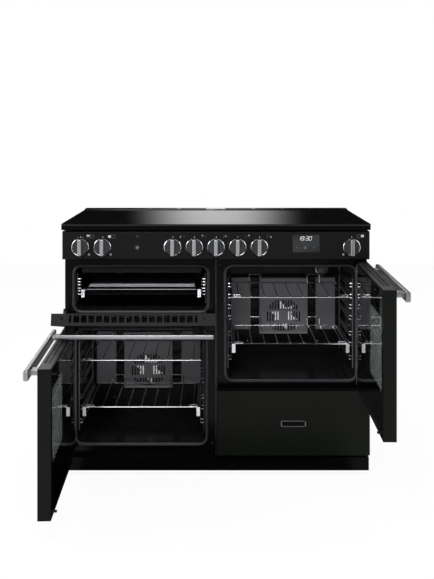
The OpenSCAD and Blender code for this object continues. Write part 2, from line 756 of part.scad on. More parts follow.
// Window outline in a door's face
module window(grow) rounded([door_mid - window_w / 2 - grow, window_z - grow],
    [door_mid + window_w / 2 + grow, window_z + window_h + grow], 18);

window_z = 85;
pane_x = [door_gap / 2 + 22, edge_x - hinge_round - 3.5];
pane_z = [10, door_h - 10];

module pane_place(grow) block([pane_x[0] - grow, inner_y - pane_t - grow, pane_z[0] - grow],
    [pane_x[1] + grow, inner_y + grow, pane_z[1] + grow]);

// Pressed casing of an oven door, open inside, with its hinge bores, catch studs and vents
module oven_door_shell() difference() {
    notch_x = pivot[0] - arm_r - 1.5;
    union() {
        difference() {
            linear_extrude(door_h) door_plan();
            block([door_gap / 2 + skin, outer_y + skin, skin],
                [edge_x - skin, inner_y - pane_t - skin, door_h - skin]);
            block([pane_x[0] + 12, outer_y + skin, 24], [pane_x[1] - 12, inner_y + 1, door_h - 24]);
        }
        for (z = [skin, door_h - notch_h - skin])
            block([notch_x - skin, outer_y + 1, z], [edge_x - 1, inner_y - pane_t - 1, z + notch_h]);
        for (z = [notch_h, door_h - notch_h - 28])
            translate([pivot[0], pivot[1], z]) cylinder(h = 28, d = pin_d + 8);
        for (z = oven_catch_z) bar_y(catch_x, z, inner_y - 1, inner_y + catch_len, catch_d);
    }
    pane_place(0.2);
    along_y(outer_y - 1, outer_y + skin + 1) window(0);
    for (z = [-1, door_h - notch_h])
        block([notch_x, outer_y + skin, z], [edge_x + 1, inner_y + 1, z + notch_h + 1]);
    for (z = [-1, door_h - notch_h - 24])
        translate([pivot[0], pivot[1], z]) cylinder(h = 25 + notch_h, r = pin_d / 2 + run);
    // two rows of vents along the top edge
    for (i = [-13 : 13], row = [[7, 16], [21, 27]])
        block([door_mid - 4.5 + i * 15.5, outer_y + row[0], door_h - skin - 1],
            [door_mid + 4.5 + i * 15.5, outer_y + row[1], door_h + 1]);
}

// Inner pane over the whole inner face, and a smaller pane behind the window
module oven_door_glass() {
    pane_place(0);
    along_y(outer_y + skin, outer_y + skin + pane_t) window(16);
}

// Handle bar with rounded long edges on two brackets
module handle(x0, x1, top) {
    z = top - bar_drop;
    y = outer_y - bar_gap - bar_t;
    along_x(x0, x1) rounded([y, z - bar_h / 2], [y + bar_t, z + bar_h / 2], bar_t / 2 - 1);
    for (x = [x0 + 55, x1 - 55])
        block([x - 17.5, y + bar_t - 4, z - 8.5], [x + 17.5, outer_y, z + 8.5]);
}

module oven_handle() handle(door_gap / 2 + 6, edge_x - 8, door_h);

module left_door_shell() color([0.085, 0.095, 0.083]) open_left() oven_door_shell();
module left_door_glass() color([0.1, 0.1, 0.1, 0.6]) open_left() oven_door_glass();
module left_door_handle() color("silver") open_left() oven_handle();
module right_door_shell() color([0.085, 0.095, 0.083]) open_right() oven_door_shell();
module right_door_glass() color([0.1, 0.1, 0.1, 0.6]) open_right() oven_door_glass();
module right_door_handle() color("silver") open_right() oven_handle();

// The grill door, drawn closed, turned down about its bottom pins
module open_grill() translate([0, grill_pivot[0], grill_pivot[1]]) rotate([grill_open, 0, 0])
    translate([0, -grill_pivot[0], -grill_pivot[1]]) children();

grill_pane = [[-edge_x + 12, grill_door_z + 20], [-door_gap / 2 - 12, grill_door_z + grill_door_h - 15]];
grill_notch = 15;

module grill_pane_place(grow) block(
    [grill_pane[0][0] - grow, inner_y - pane_t - grow, grill_pane[0][1] - grow],
    [grill_pane[1][0] + grow, inner_y + grow, grill_pane[1][1] + grow]);

// Pressed casing of the grill door
module grill_door_shell() color([0.2, 0.2, 0.2]) open_grill() difference() {
    top = grill_door_z + grill_door_h;
    union() {
        difference() {
            block([-edge_x, outer_y, grill_door_z], [-door_gap / 2, inner_y, top]);
            block([-edge_x + skin, outer_y + skin, grill_door_z + skin],
                [-door_gap / 2 - skin, inner_y - pane_t - skin, top - skin]);
            block([grill_pane[0][0] + 12, outer_y + skin, grill_pane[0][1] + 12],
                [grill_pane[1][0] - 12, inner_y + 1, grill_pane[1][1] - 12]);
        }
        for (i = [0, 1]) block([grill_hinge_x[i] - (i ? 21 : 7), outer_y + 1, grill_door_z + 1],
            [grill_hinge_x[i] + (i ? 7 : 21), inner_y - pane_t - 1, grill_door_z + grill_notch + skin]);
        for (x = grill_catch_x) bar_y(x, grill_catch_z, inner_y - 1, inner_y + catch_len, catch_d - 2);
    }
    grill_pane_place(0.2);
    // slots for the hinge plates and bores for their pins
    for (i = [0, 1]) {
        block([grill_hinge_x[i] - plate_t / 2 - 1, outer_y + 1.5, grill_door_z - 1],
            [grill_hinge_x[i] + plate_t / 2 + 1, inner_y + 1, grill_door_z + grill_notch]);
        rod([grill_hinge_x[i], grill_pivot[0], grill_pivot[1]],
            [grill_hinge_x[i] + (i ? -18 : 18), grill_pivot[0], grill_pivot[1]], grill_pin_d + 2 * run);
    }
    // one row of large vents, a narrow one at each end of it, and a screw recess near each corner
    for (i = [-7.5 : 7.5])
        block([-door_mid - 10 + i * 25.1, inner_y - 29, top - skin - 1],
            [-door_mid + 10 + i * 25.1, inner_y - 5, top + 1]);
    for (x = [-209, 209])
        block([-door_mid + x - 4.5, inner_y - 29, top - skin - 1],
            [-door_mid + x + 4.5, inner_y - 5, top + 1]);
    for (x = [-1, 1] * (door_w / 2 - 36.5)) translate([-door_mid + x, inner_y - 17, top - 2]) difference() {
        cylinder(h = 3, d = 11);
        cylinder(h = 1.3, d = 6.5);
    }
}

module grill_door_glass() color([0.1, 0.1, 0.1, 0.6]) open_grill() grill_pane_place(0);
module grill_door_handle() color("silver") open_grill()
    handle(-edge_x + 6, -door_gap / 2 - 3, grill_door_z + grill_door_h);

// ---- hinges and catches on the body ----

// Plate and pin of one oven door pivot; the pin points up or down into the door
module pivot_plate(z, down) translate([pivot[0], 0, z]) {
    block([-arm_r, pivot[1], 0], [arm_r, 0, plate_t]);
    translate([0, pivot[1], 0]) cylinder(h = plate_t, r = arm_r);
    block([-arm_r, -2, down ? -24 : 0], [arm_r, 0, down ? plate_t : plate_t + 24]);
    translate([0, pivot[1], down ? -20 : 0]) cylinder(h = plate_t + 20, d = pin_d);
}

module pivot_pair(z0) {
    gap = (notch_h - plate_t) / 2;
    pivot_plate(z0 + gap, false);
    pivot_plate(z0 + door_h - notch_h + gap, true);
}

// Pivots of the oven doors, and the grill door's two plates with their side pins
module door_hinges() color("dimgray") {
    pivot_pair(right_door_z);
    mirror([1, 0, 0]) pivot_pair(left_door_z);
    for (i = [0, 1]) {
        along_x(grill_hinge_x[i] - plate_t / 2, grill_hinge_x[i] + plate_t / 2) {
            translate([grill_pivot[0], grill_pivot[1] - grill_arm_r])
                square([-grill_pivot[0], 2 * grill_arm_r]);
            translate(grill_pivot) circle(grill_arm_r);
        }
        rod([grill_hinge_x[i], grill_pivot[0], grill_pivot[1]],
            [grill_hinge_x[i] + (i ? -16 : 16), grill_pivot[0], grill_pivot[1]], grill_pin_d);
    }
}

// Cups behind the front sheets that take the doors' catch studs
module catch_cup(x, z, d) difference() {
    bar_y(x, z, frame_t, frame_t + 9, d + 4);
    bar_y(x, z, frame_t - 1, frame_t + 7, d);
}

module door_catches() color("dimgray") {
    for (z = oven_catch_z) {
        catch_cup(-catch_x, left_door_z + z, catch_d + 5);
        catch_cup(catch_x, right_door_z + z, catch_d + 5);
    }
    for (x = grill_catch_x) catch_cup(x, grill_catch_z, catch_d + 2);
}

// ---- drawer ----

drawer_x = [door_gap / 2 + 3, edge_x];
box_x = [40, side_x - 36];
rail_z = drawer_z + 75;

// Folded drawer front, open at the back
module drawer_front() color([0.085, 0.095, 0.083]) difference() {
    along_y(outer_y, inner_y) rounded([drawer_x[0], drawer_z], [drawer_x[1], drawer_z + drawer_h], 2);
    block([drawer_x[0] + skin, outer_y + skin, drawer_z + skin],
        [drawer_x[1] - skin, inner_y + 1, drawer_z + drawer_h - skin]);
}

// Open box behind a mounting plate that fits in the back of the drawer front
module drawer_box() color("dimgray") {
    difference() {
        union() {
            block([box_x[0], inner_y - 1, drawer_z + 14], [box_x[1], drawer_d, drawer_z + 14 + drawer_box_h]);
            block([drawer_x[0] + skin + seat, inner_y - 2, drawer_z + skin + seat],
                [drawer_x[1] - skin - seat, inner_y, drawer_z + drawer_h - skin - seat]);
            for (x = [box_x[0] - 23, box_x[1]])
                block([x, 6, rail_z + 3 + seat], [x + 23, drawer_d, rail_z + 37 - seat]);
        }
        block([box_x[0] + sheet, inner_y, drawer_z + 14 + sheet],
            [box_x[1] - sheet, drawer_d - sheet, drawer_z + drawer_h]);
        // the slides are tubes
        for (x = [box_x[0] - 23, box_x[1]])
            block([x + 2, 5, rail_z + 5.5], [x + 21, drawer_d + 1, rail_z + 34.5]);
    }
}

// Channels on brackets, on the side panel and on the middle partition
module drawer_runners() color("silver") for (s = [-1, 1]) {
    inner = s < 0 ? box_x[0] - seat : box_x[1] + seat;
    wall = s < 0 ? 1 : side_x - sheet;
    back = inner + s * 27;
    difference() {
        block([min(inner, back), frame_t, rail_z], [max(inner, back), drawer_d + 10, rail_z + 40]);
        block([min(inner - s, back - 3 * s), frame_t - 1, rail_z + 3],
            [max(inner - s, back - 3 * s), drawer_d + 11, rail_z + 37]);
    }
    for (y = [30, 380]) block([min(wall, back), y, rail_z + 6], [max(wall, back), y + 30, rail_z + 34]);
}

// Bare plate with a raised rim on the drawer front
module badge_plate() color("silver") translate([door_mid, 0, drawer_z + 113]) difference() {
    along_y(outer_y - 2, outer_y) rounded([-badge_w / 2, -badge_h / 2], [badge_w / 2, badge_h / 2], 2);
    along_y(outer_y - 3, outer_y - 1.2)
        rounded([-badge_w / 2 + 2, -badge_h / 2 + 2], [badge_w / 2 - 2, badge_h / 2 - 2], 1);
}

// ---- hob ----

// Outline of the hob between two depths, with round outer corners
module hob_outline(inset) rounded([-hob_w / 2 + inset, -hob_front + inset],
    [hob_w / 2 - inset, hob_d - hob_front - inset], hob_r);

// Rim under the glass with the pan that holds the coils, open to the vent strip at the back
module hob_tray() color([0.08, 0.08, 0.08]) difference() {
    union() {
        difference() {
            translate([0, 0, rim_z]) linear_extrude(rim_h) hob_outline(0.5);
            translate([0, 0, rim_z - 1]) linear_extrude(rim_h - 1) hob_outline(2.5);
        }
        block([-pan_half, pan_front, pan_z], [pan_half, glass_back - 10, tray_z]);
        // bearers that stand on the side panels' top flanges
        both_sides() block([pan_half + 10, pan_front, panel_top], [pan_half + 24, glass_back, tray_z - 1]);
    }
    block([-pan_half + sheet, pan_front + sheet, pan_z + sheet],
        [pan_half - sheet, glass_back - 10 - sheet, tray_z + 1]);
    block([-pan_half, glass_back + 10, tray_z - 3], [pan_half, hob_d - hob_front - 10, tray_z + 1]);
}

module hob_glass() color([0.03, 0.03, 0.035]) translate([0, 0, tray_z]) linear_extrude(glass_t)
    intersection() {
        hob_outline(0);
        translate([-hob_w, -hob_front - 1]) square([2 * hob_w, hob_front + 1 + glass_back]);
    }

// Four slots on each side of the plain middle of the vent strip
module vent_slots() for (s = [-1, 1], i = [0 : 3]) {
    x0 = i == 0 ? vent_middle / 2 : (i + 0.275) * vent_pitch + vent_bar / 2;
    x1 = (i + 1.275) * vent_pitch - vent_bar / 2;
    block([s > 0 ? x0 : -x1, glass_back + 16, tray_z],
        [s > 0 ? x1 : -x0, hob_d - hob_front - 16, hob_top + vent_rise + 1]);
}

// Hollow vent strip behind the glass
module rear_vent_trim() color([0.1, 0.1, 0.1]) difference() {
    translate([0, 0, tray_z]) linear_extrude(glass_t + vent_rise) intersection() {
        hob_outline(0);
        translate([-hob_w, glass_back + 0.5]) square([2 * hob_w, vent_d + 1]);
    }
    block([-hob_w / 2 + 2, glass_back + 2.5, tray_z - 1],
        [hob_w / 2 - 2, hob_d - hob_front - 2, hob_top + vent_rise - 2]);
    vent_slots();
}

coil_place = [[-coil_x, 125], [-coil_x, 350], [0, 235], [coil_x, 350], [coil_x, 125]];

// Wound coils on round carriers that stand on the tray's floor
module induction_coil(r) {
    translate([0, 0, pan_z + sheet]) cylinder(h = tray_z - 9 - pan_z - sheet, d = 30);
    translate([0, 0, tray_z - 10]) difference() {
        cylinder(h = 10 - seat, r = r);
        for (turn = [35 : 12 : r - 12]) translate([0, 0, 5]) difference() {
            cylinder(h = 6, r = turn + 1.5);
            translate([0, 0, -1]) cylinder(h = 8, r = turn);
        }
    }
}

module induction_coils() color("sienna") for (i = [0 : 4])
    translate([coil_place[i][0], coil_place[i][1], 0]) induction_coil(coil_r[i]);

// ---- control panel ----

// Section of the control panel, open at the back
module panel_section(inset) intersection() {
    rounded([-panel_y + inset, panel_z + inset], [panel_y, panel_top - inset], panel_r);
    translate([-panel_y, 0]) square([panel_y + frame_t + inset, hob_top]);
}

module control_panel() color([0.12, 0.115, 0.115]) difference() {
    along_x(-side_x, side_x) panel_section(0);
    along_x(-side_x + panel_t, side_x - panel_t) panel_section(panel_t);
    for (x = knob_x) bar_y(x, knob_z, -panel_y - 1, -panel_y + panel_t + 1, shaft_d + 4);
    bar_y(button_x, knob_z, -panel_y - 1, -panel_y + panel_t + 1, button_d + 2 * seat);
    for (x = lamp_x) bar_y(x, lamp_z, -panel_y - 1, -panel_y + panel_t + 1, lamp_d + 0.2);
    along_y(-panel_y - 1, -panel_y + panel_t + 1) clock_outline(0.2);
}

module clock_outline(grow) rounded([clock_x - clock_w / 2 - grow, clock_z - clock_h / 2 - grow],
    [clock_x + clock_w / 2 + grow, clock_z + clock_h / 2 + grow], 3);

// Clock glass in its cut-out, on a housing behind the panel
module clock_display() color([0.02, 0.02, 0.02]) {
    along_y(-panel_y - 0.6, -panel_y + panel_t) clock_outline(0);
    along_y(-panel_y + panel_t, -panel_y + panel_t + 22) clock_outline(3);
}

// Small round signal lenses
module indicator_lamps() color("orangered") for (x = lamp_x) {
    bar_y(x, lamp_z, -panel_y - 1.5, -panel_y + panel_t + 8, lamp_d);
    bar_y(x, lamp_z, -panel_y + panel_t, -panel_y + panel_t + 2, lamp_d + 4);
}

// Chrome ring on the panel round each knob
module knob_rings() color("silver") for (x = knob_x) difference() {
    bar_y(x, knob_z, -panel_y - ring_h, -panel_y, ring_d);
    bar_y(x, knob_z, -panel_y - ring_h - 1, -panel_y + 1, ring_d - 2 * ring_w);
}

// Rotary switches on the back of the panel, and the light button's housing
module control_switches() color("gray") {
    y = -panel_y + panel_t;
    for (x = knob_x) difference() {
        bar_y(x, knob_z, y, y + 24, 38);
        bar_y(x, knob_z, y - 1, y + 18, shaft_d + 2 * run);
    }
    difference() {
        bar_y(button_x, knob_z, y, y + 24, button_d + 8);
        bar_y(button_x, knob_z, y - 1, y + 9, button_d + 2 * seat);
        bar_y(button_x, knob_z, y, y + 20, 6 + 2 * run);
    }
}

// Knob: dark disc inside the ring, grip bar over the ring, shaft into the switch
module knob(x) color("silver") {
    face = -panel_y;
    disc_d = ring_d - 2 * ring_w - 1;
    bar_y(x, knob_z, face - ring_h - 4, face - 0.5, disc_d);
    bar_y(x, knob_z, face - 1, face + panel_t + 16, shaft_d);
    intersection() {
        translate([x, 0, knob_z - grip_l / 2]) linear_extrude(grip_l)
            polygon([[-grip_w / 2, face - ring_h - 0.5], [grip_w / 2, face - ring_h - 0.5],
                [grip_w / 2, face - grip_h + 4], [grip_w / 2 - 2, face - grip_h],
                [2 - grip_w / 2, face - grip_h], [-grip_w / 2, face - grip_h + 4]]);
        bar_y(x, knob_z, face - grip_h - 1, face, grip_l);
    }
}

module knob_grill() knob(knob_x[0]);
module knob_left_oven() knob(knob_x[1]);
module knob_zone_1() knob(knob_x[2]);
module knob_zone_2() knob(knob_x[3]);
module knob_zone_3() knob(knob_x[4]);
module knob_zone_4() knob(knob_x[5]);
module knob_zone_5() knob(knob_x[6]);
module knob_right_oven() knob(knob_x[7]);

// Oven light button and its stem
module light_button() color("silver") {
    bar_y(button_x, knob_z, -panel_y - 4, -panel_y + panel_t + 5, button_d);
    bar_y(button_x, knob_z, -panel_y + panel_t + 4, -panel_y + panel_t + 16, 6);
}

base_frame();
levelling_feet();
plinth();
side_panels();
back_panel();
left_front_frame();
right_front_frame();
grill_liner();
left_oven_liner();
right_oven_liner();
door_seals();
fan_covers();
fan_motors();
heating_elements();
side_racks();
fixed_runners();
oven_lamps();
hob_tray();
hob_glass();
rear_vent_trim();
induction_coils();
control_panel();
clock_display();
indicator_lamps();
knob_rings();
control_switches();
door_hinges();
door_catches();
drawer_runners();
terminal_box();
left_door_shell();
left_door_glass();
left_door_handle();
right_door_shell();
right_door_glass();
right_door_handle();
grill_door_shell();
grill_door_glass();
grill_door_handle();
drawer_front();
drawer_box();
badge_plate();
left_upper_shelf();
left_lower_shelf();
right_upper_shelf();
right_lower_shelf();
grill_carriage();
grill_pan();
grill_trivet();
knob_grill();
knob_left_oven();
knob_zone_1();
knob_zone_2();
knob_zone_3();
knob_zone_4();
knob_zone_5();
knob_right_oven();
light_button();
left_fan();
right_fan();
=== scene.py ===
# Range cooker, 1100 mm wide: a low fan oven under a drop-down grill on the left, a tall-set fan oven
# over a drawer on the right, and an induction hob on top. Its doors stand open at rest.
import json
import math

import bmesh
import bpy
from mathutils import Matrix, Vector

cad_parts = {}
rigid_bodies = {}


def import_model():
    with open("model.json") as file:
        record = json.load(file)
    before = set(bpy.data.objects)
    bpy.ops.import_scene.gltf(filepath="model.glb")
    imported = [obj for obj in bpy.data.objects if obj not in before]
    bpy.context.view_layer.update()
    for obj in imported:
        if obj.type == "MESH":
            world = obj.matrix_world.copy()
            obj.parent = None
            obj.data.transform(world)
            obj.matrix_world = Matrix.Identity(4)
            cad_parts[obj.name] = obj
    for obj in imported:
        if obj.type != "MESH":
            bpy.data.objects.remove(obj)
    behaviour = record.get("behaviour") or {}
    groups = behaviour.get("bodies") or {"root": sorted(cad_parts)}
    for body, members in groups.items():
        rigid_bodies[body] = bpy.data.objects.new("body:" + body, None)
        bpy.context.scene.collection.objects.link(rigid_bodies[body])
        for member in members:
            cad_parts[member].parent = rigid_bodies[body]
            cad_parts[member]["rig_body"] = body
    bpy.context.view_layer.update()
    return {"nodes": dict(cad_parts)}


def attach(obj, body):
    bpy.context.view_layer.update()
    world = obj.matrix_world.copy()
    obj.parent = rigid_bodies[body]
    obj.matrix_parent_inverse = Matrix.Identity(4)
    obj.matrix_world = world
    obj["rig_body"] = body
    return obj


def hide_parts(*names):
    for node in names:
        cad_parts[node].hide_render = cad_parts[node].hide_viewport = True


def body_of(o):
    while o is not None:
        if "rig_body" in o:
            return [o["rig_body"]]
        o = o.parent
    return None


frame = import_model()

# ---- camera ----
# A level camera in front of the cooker at eye height. The lens is shifted down, as in a shot of a
# tall product, so that upright edges stay upright.
camera = bpy.data.cameras.new("camera")
camera.sensor_width = 36
camera.lens = 52.41
camera.shift_x = 0.0018
camera.shift_y = -0.2751
camera_object = bpy.data.objects.new("camera", camera)
camera_object.location = (0, -3.05, 1.238)
camera_object.rotation_euler = (math.radians(90), 0, 0)
bpy.context.scene.collection.objects.link(camera_object)
bpy.context.scene.camera = camera_object
bpy.context.scene.view_settings.view_transform = "Standard"


# ---- floor and studio light ----
# A white floor in a white room, with soft lamps in front and above. Black flags behind the camera
# and overhead keep the enamel deep, and a card that glows in its middle is mirrored in the hob.
def add_node(tree, kind, settings=(), links=()):
    """Adds a node, sets its options and sockets, and links its sockets to the given outputs."""
    node = tree.nodes.new(kind)
    for name, value in dict(settings).items():
        if isinstance(name, str) and hasattr(node, name):
            setattr(node, name, value)
        else:
            node.inputs[name].default_value = value
    for name, source in dict(links).items():
        tree.links.new(source, node.inputs[name])
    return node


def colour(code):
    """Turns an sRGB hex value into the linear colour that Blender's sockets take."""
    shares = [int(code[i:i + 2], 16) / 255 for i in (1, 3, 5)]
    return (*(s / 12.92 if s <= 0.04045 else ((s + 0.055) / 1.055) ** 2.4 for s in shares), 1)


def new_material(name, base, roughness, metallic=0.0, **sockets):
    """Starts a material, with the values of its shader's sockets."""
    material = bpy.data.materials.new(name)
    material.use_nodes = True
    shader = material.node_tree.nodes["Principled BSDF"]
    values = {"Base Color": colour(base), "Roughness": roughness, "Metallic": metallic}
    for socket, value in {**values, **sockets}.items():
        shader.inputs[socket.replace("_", " ")].default_value = value
    return material


def parts_of(material):
    """Gives the node tree of a material and its shader."""
    return material.node_tree, material.node_tree.nodes["Principled BSDF"]


def background_rays(tree):
    """Gives 1 on a ray that sees the background straight, through glass or in a mirror, else 0."""
    rays = add_node(tree, "ShaderNodeLightPath")
    seen = add_node(tree, "ShaderNodeMath", {"operation": "MAXIMUM"},
        {0: rays.outputs["Is Camera Ray"], 1: rays.outputs["Is Transmission Ray"]})
    mirrored = add_node(tree, "ShaderNodeMath", {"operation": "MAXIMUM"},
        {0: seen.outputs[0], 1: rays.outputs["Is Glossy Ray"]})
    return mirrored.outputs[0]


def add_stage(name, size, place, material):
    """Adds a flat sheet of the studio that is no part of the cooker."""
    bm = bmesh.new()
    bmesh.ops.create_grid(bm, x_segments=1, y_segments=1, size=0.5)
    bmesh.ops.transform(bm, matrix=place @ Matrix.Diagonal((size[0], size[1], 1, 1)), verts=bm.verts)
    mesh = bpy.data.meshes.new(name)
    bm.to_mesh(mesh)
    bm.free()
    mesh.materials.append(material)
    sheet = bpy.data.objects.new(name, mesh)
    bpy.context.scene.collection.objects.link(sheet)
    return sheet


# the room looks white, and lights the cooker with about a third of that
world = bpy.data.worlds.new("studio")
bpy.context.scene.world = world
world.use_nodes = True
sky = world.node_tree
level = add_node(sky, "ShaderNodeMix", {"data_type": "FLOAT", 2: 0.32, 3: 1.0}, {0: background_rays(sky)})
sky.links.new(level.outputs[0], sky.nodes["Background"].inputs["Strength"])
sky.nodes["Background"].inputs["Color"].default_value = (1, 1, 1, 1)

# matt floor paint, which looks nearly white and still keeps the cooker's soft shadow
floor_paint = new_material("painted_studio_floor", "#dededc", 0.6)
tree, shader = parts_of(floor_paint)
share = add_node(tree, "ShaderNodeMath", {"operation": "MULTIPLY", 1: 0.88}, {0: background_rays(tree)})
white = add_node(tree, "ShaderNodeEmission", {"Color": (1, 1, 1, 1), "Strength": 1.06})
mixed = add_node(tree, "ShaderNodeMixShader", (),
    {0: share.outputs[0], 1: shader.outputs[0], 2: white.outputs[0]})
tree.links.new(mixed.outputs[0], tree.nodes["Material Output"].inputs["Surface"])
add_stage("studio_floor", (7, 7), Matrix.Translation((0, 1.2, 0)), floor_paint)


def position_x(tree):
    """Gives the X of each place on a piece, in metres."""
    place = add_node(tree, "ShaderNodeTexCoord")
    return add_node(tree, "ShaderNodeSeparateXYZ", (), {0: place.outputs["Object"]}).outputs["X"]


# a card that fades from pale grey in its middle to near black, 0.7 m to each side
card_light = new_material("light_card", "#ffffff", 1.0)
tree = card_light.node_tree
aside = add_node(tree, "ShaderNodeMath", {"operation": "ABSOLUTE"}, {0: position_x(tree)})
fade = add_node(tree, "ShaderNodeMapRange", {"interpolation_type": "SMOOTHERSTEP", "From Min": 0.0,
    "From Max": 0.7, "To Min": 0.84, "To Max": 0.006}, {"Value": aside.outputs[0]})
glow = add_node(tree, "ShaderNodeEmission", (), {"Strength": fade.outputs[0]})
tree.links.new(glow.outputs[0], tree.nodes["Material Output"].inputs["Surface"])
# a plain bright card, which the doors' panes show as a light patch
side_light = new_material("side_card", "#ffffff", 1.0, Emission_Color=colour("#ffffff"),
    Emission_Strength=1.4)
# cloth that mirrors as plain black
flag_cloth = new_material("black_flag_cloth", "#050505", 1.0, Specular_IOR_Level=0.0)
upright = Matrix.Rotation(math.radians(90), 4, "X")
for name, size, place, material in (
        ("light_card", (9, 1.6), Matrix.Translation((0.02, 3.0, 1.65)) @ upright, card_light),
        ("side_card", (1.2, 0.7), Matrix.Translation((-1.7, 2.9, 1.4)) @ upright, side_light),
        ("front_flag", (12, 4.0), Matrix.Translation((0, -3.7, 2.5)) @ upright, flag_cloth),
        ("low_flag", (12, 0.22), Matrix.Translation((0, -3.7, 0.1)) @ upright, flag_cloth),
        ("floor_flag", (1.0, 1.0), Matrix.Translation((0, 0, 0.001)), flag_cloth),
        ("top_flag", (12, 8), Matrix.Translation((0, 0.3, 4.5)), flag_cloth)):
    sheet = add_stage(name, size, place, material)
    sheet.visible_camera = False
    sheet.visible_diffuse = False
    sheet.visible_transmission = name == "floor_flag"
    sheet.visible_shadow = False

for name, at, to, size, power in (
        ("front_soft_box", (-0.3, -2.6, 3.3), (0, -0.1, 0.55), (2.0, 1.4), 70),
        ("left_soft_box", (-3.0, -1.0, 2.0), (0, 0.1, 0.45), (1.2, 2.0), 32),
        ("right_soft_box", (3.0, -1.0, 2.0), (0, 0.1, 0.45), (1.2, 2.0), 14),
        ("low_soft_box", (-0.56, -3.6, 1.5), (-0.25, -0.25, 0.57), (0.8, 0.9), 7),
        ("rear_soft_box", (0, 3.0, 3.0), (0, 0.3, 0.8), (3.0, 1.0), 30)):
    lamp = bpy.data.lights.new(name, "AREA")
    lamp.shape = "RECTANGLE"
    lamp.size, lamp.size_y = size
    lamp.energy = power
    lamp_object = bpy.data.objects.new(name, lamp)
    lamp_object.location = at
    lamp_object.rotation_euler = (Vector(to) - Vector(at)).to_track_quat("-Z", "Y").to_euler()
    lamp_object.visible_camera = False
    bpy.context.scene.collection.objects.link(lamp_object)


# ---- chassis, back panel and drawer box ----
# Folded zinc-coated steel sheet, cut and bent on a press and screwed together. The chassis carries
# both ovens, the drawer runs in it, and the back panel closes it.
def scale_of(millimetres):
    """Scale of a pattern whose grains or lines lie this many millimetres apart."""
    return 1000 / millimetres


def dress(material, *nodes):
    """Gives the finish to solids that keep the shape they came with."""
    for node in nodes:
        for holder in frame["nodes"][node].material_slots:
            holder.material = material


# zinc freezes in flat crystals 14 mm across: patches of lighter and darker grey, some shinier
zinc_sheet = new_material("zinc_coated_sheet_steel", "#8f9293", 0.42, 1.0)
tree, shader = parts_of(zinc_sheet)
place = add_node(tree, "ShaderNodeTexCoord")
crystals = add_node(tree, "ShaderNodeTexVoronoi", {"Scale": scale_of(14.2857)},
    {"Vector": place.outputs["Object"]})
grey = add_node(tree, "ShaderNodeRGBToBW", (), {0: crystals.outputs["Color"]})
tint = add_node(tree, "ShaderNodeMix", {"data_type": "RGBA", 6: colour("#7d8081"), 7: colour("#a9acad")},
    {0: grey.outputs[0]})
shine = add_node(tree, "ShaderNodeMapRange", {"To Min": 0.34, "To Max": 0.52}, {"Value": grey.outputs[0]})
tree.links.new(tint.outputs[2], shader.inputs["Base Color"])
tree.links.new(shine.outputs[0], shader.inputs["Roughness"])
dress(zinc_sheet, "base_frame", "back_panel", "drawer_box", "drawer_runners")


# ---- levelling feet ----
# Moulded nylon pads on zinc-plated M12 studs. Each stud screws up into a rail of the chassis, and a
# hexagon nut locks it at its height.
def add_grain(material, size, detail=2.0, tints=(), shine=(), relief=(), stretch=(), tinted="Base Color"):
    """Lets a finish change over grains of a size in millimetres: between two colours, between two
    roughness values, or in height by a strength and a depth. It can be drawn out along an axis."""
    tree, shader = parts_of(material)
    at = add_node(tree, "ShaderNodeTexCoord").outputs["Object"]
    if stretch:
        at = add_node(tree, "ShaderNodeMapping", {"Scale": stretch}, {"Vector": at}).outputs[0]
    grains = add_node(tree, "ShaderNodeTexNoise", {"Scale": scale_of(size), "Detail": detail}, {"Vector": at})
    if tints:
        first, last = tints
        shade = add_node(tree, "ShaderNodeMix", {"data_type": "RGBA", 6: colour(first), 7: colour(last)},
            {0: grains.outputs[0]})
        tree.links.new(shade.outputs[2], shader.inputs[tinted])
    if shine:
        low, high = shine
        gloss = add_node(tree, "ShaderNodeMapRange", {"To Min": low, "To Max": high},
            {"Value": grains.outputs[0]})
        tree.links.new(gloss.outputs[0], shader.inputs["Roughness"])
    if relief:
        strength, depth = relief
        bumps = add_node(tree, "ShaderNodeBump", {"Strength": strength, "Distance": depth},
            {"Height": grains.outputs[0]})
        tree.links.new(bumps.outputs[0], shader.inputs["Normal"])


# edges that turn by more than this stay sharp to the eye
crease = math.radians(35)


def finish_piece(name, bm, body, material, slot, *nodes):
    """Makes the finished object, lets it ride on its body and stand for the solids it replaces."""
    bmesh.ops.remove_doubles(bm, verts=bm.verts, dist=0.00001)
    bmesh.ops.recalc_face_normals(bm, faces=bm.faces)
    mesh = bpy.data.meshes.new(name)
    bm.to_mesh(mesh)
    bm.free()
    mesh.shade_smooth()
    mesh.set_sharp_from_angle(angle=crease)
    mesh.materials.append(material)
    piece = bpy.data.objects.new(name, mesh)
    bpy.context.scene.collection.objects.link(piece)
    piece.modifiers.new("even_shading", "WEIGHTED_NORMAL").keep_sharp = True
    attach(piece, body)
    if nodes:
        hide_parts(*nodes)


def join_part(bm, part, place=Matrix()):
    """Moves a separate shape into place and adds it to a piece."""
    mesh = bpy.data.meshes.new("part")
    part.to_mesh(mesh)
    part.free()
    mesh.transform(place)
    bm.from_mesh(mesh)
    bpy.data.meshes.remove(mesh)


def add_turned(bm, profile, place, steps=32):
    """Adds a turned shape from its (radius, height) outline, turned about Z and then put in place."""
    part = bmesh.new()
    rings = [part.verts.new((r, 0, h)) for r, h in profile]
    edges = [part.edges.new(pair) for pair in zip(rings, rings[1:])]
    bmesh.ops.spin(part, geom=rings + edges, axis=(0, 0, 1), angle=math.tau, steps=steps, use_merge=True)
    bmesh.ops.remove_doubles(part, verts=part.verts, dist=0.00001)
    bmesh.ops.holes_fill(part, edges=[e for e in part.edges if e.is_boundary], sides=0)
    join_part(bm, part, place)


# its mould leaves nylon with an even grain under a millimetre across, which only keeps it matt here
nylon = new_material("moulded_black_nylon", "#151515", 0.55)
add_grain(nylon, 0.66667, relief=(0.3, 0.0002))
dress(nylon, "door_catches")

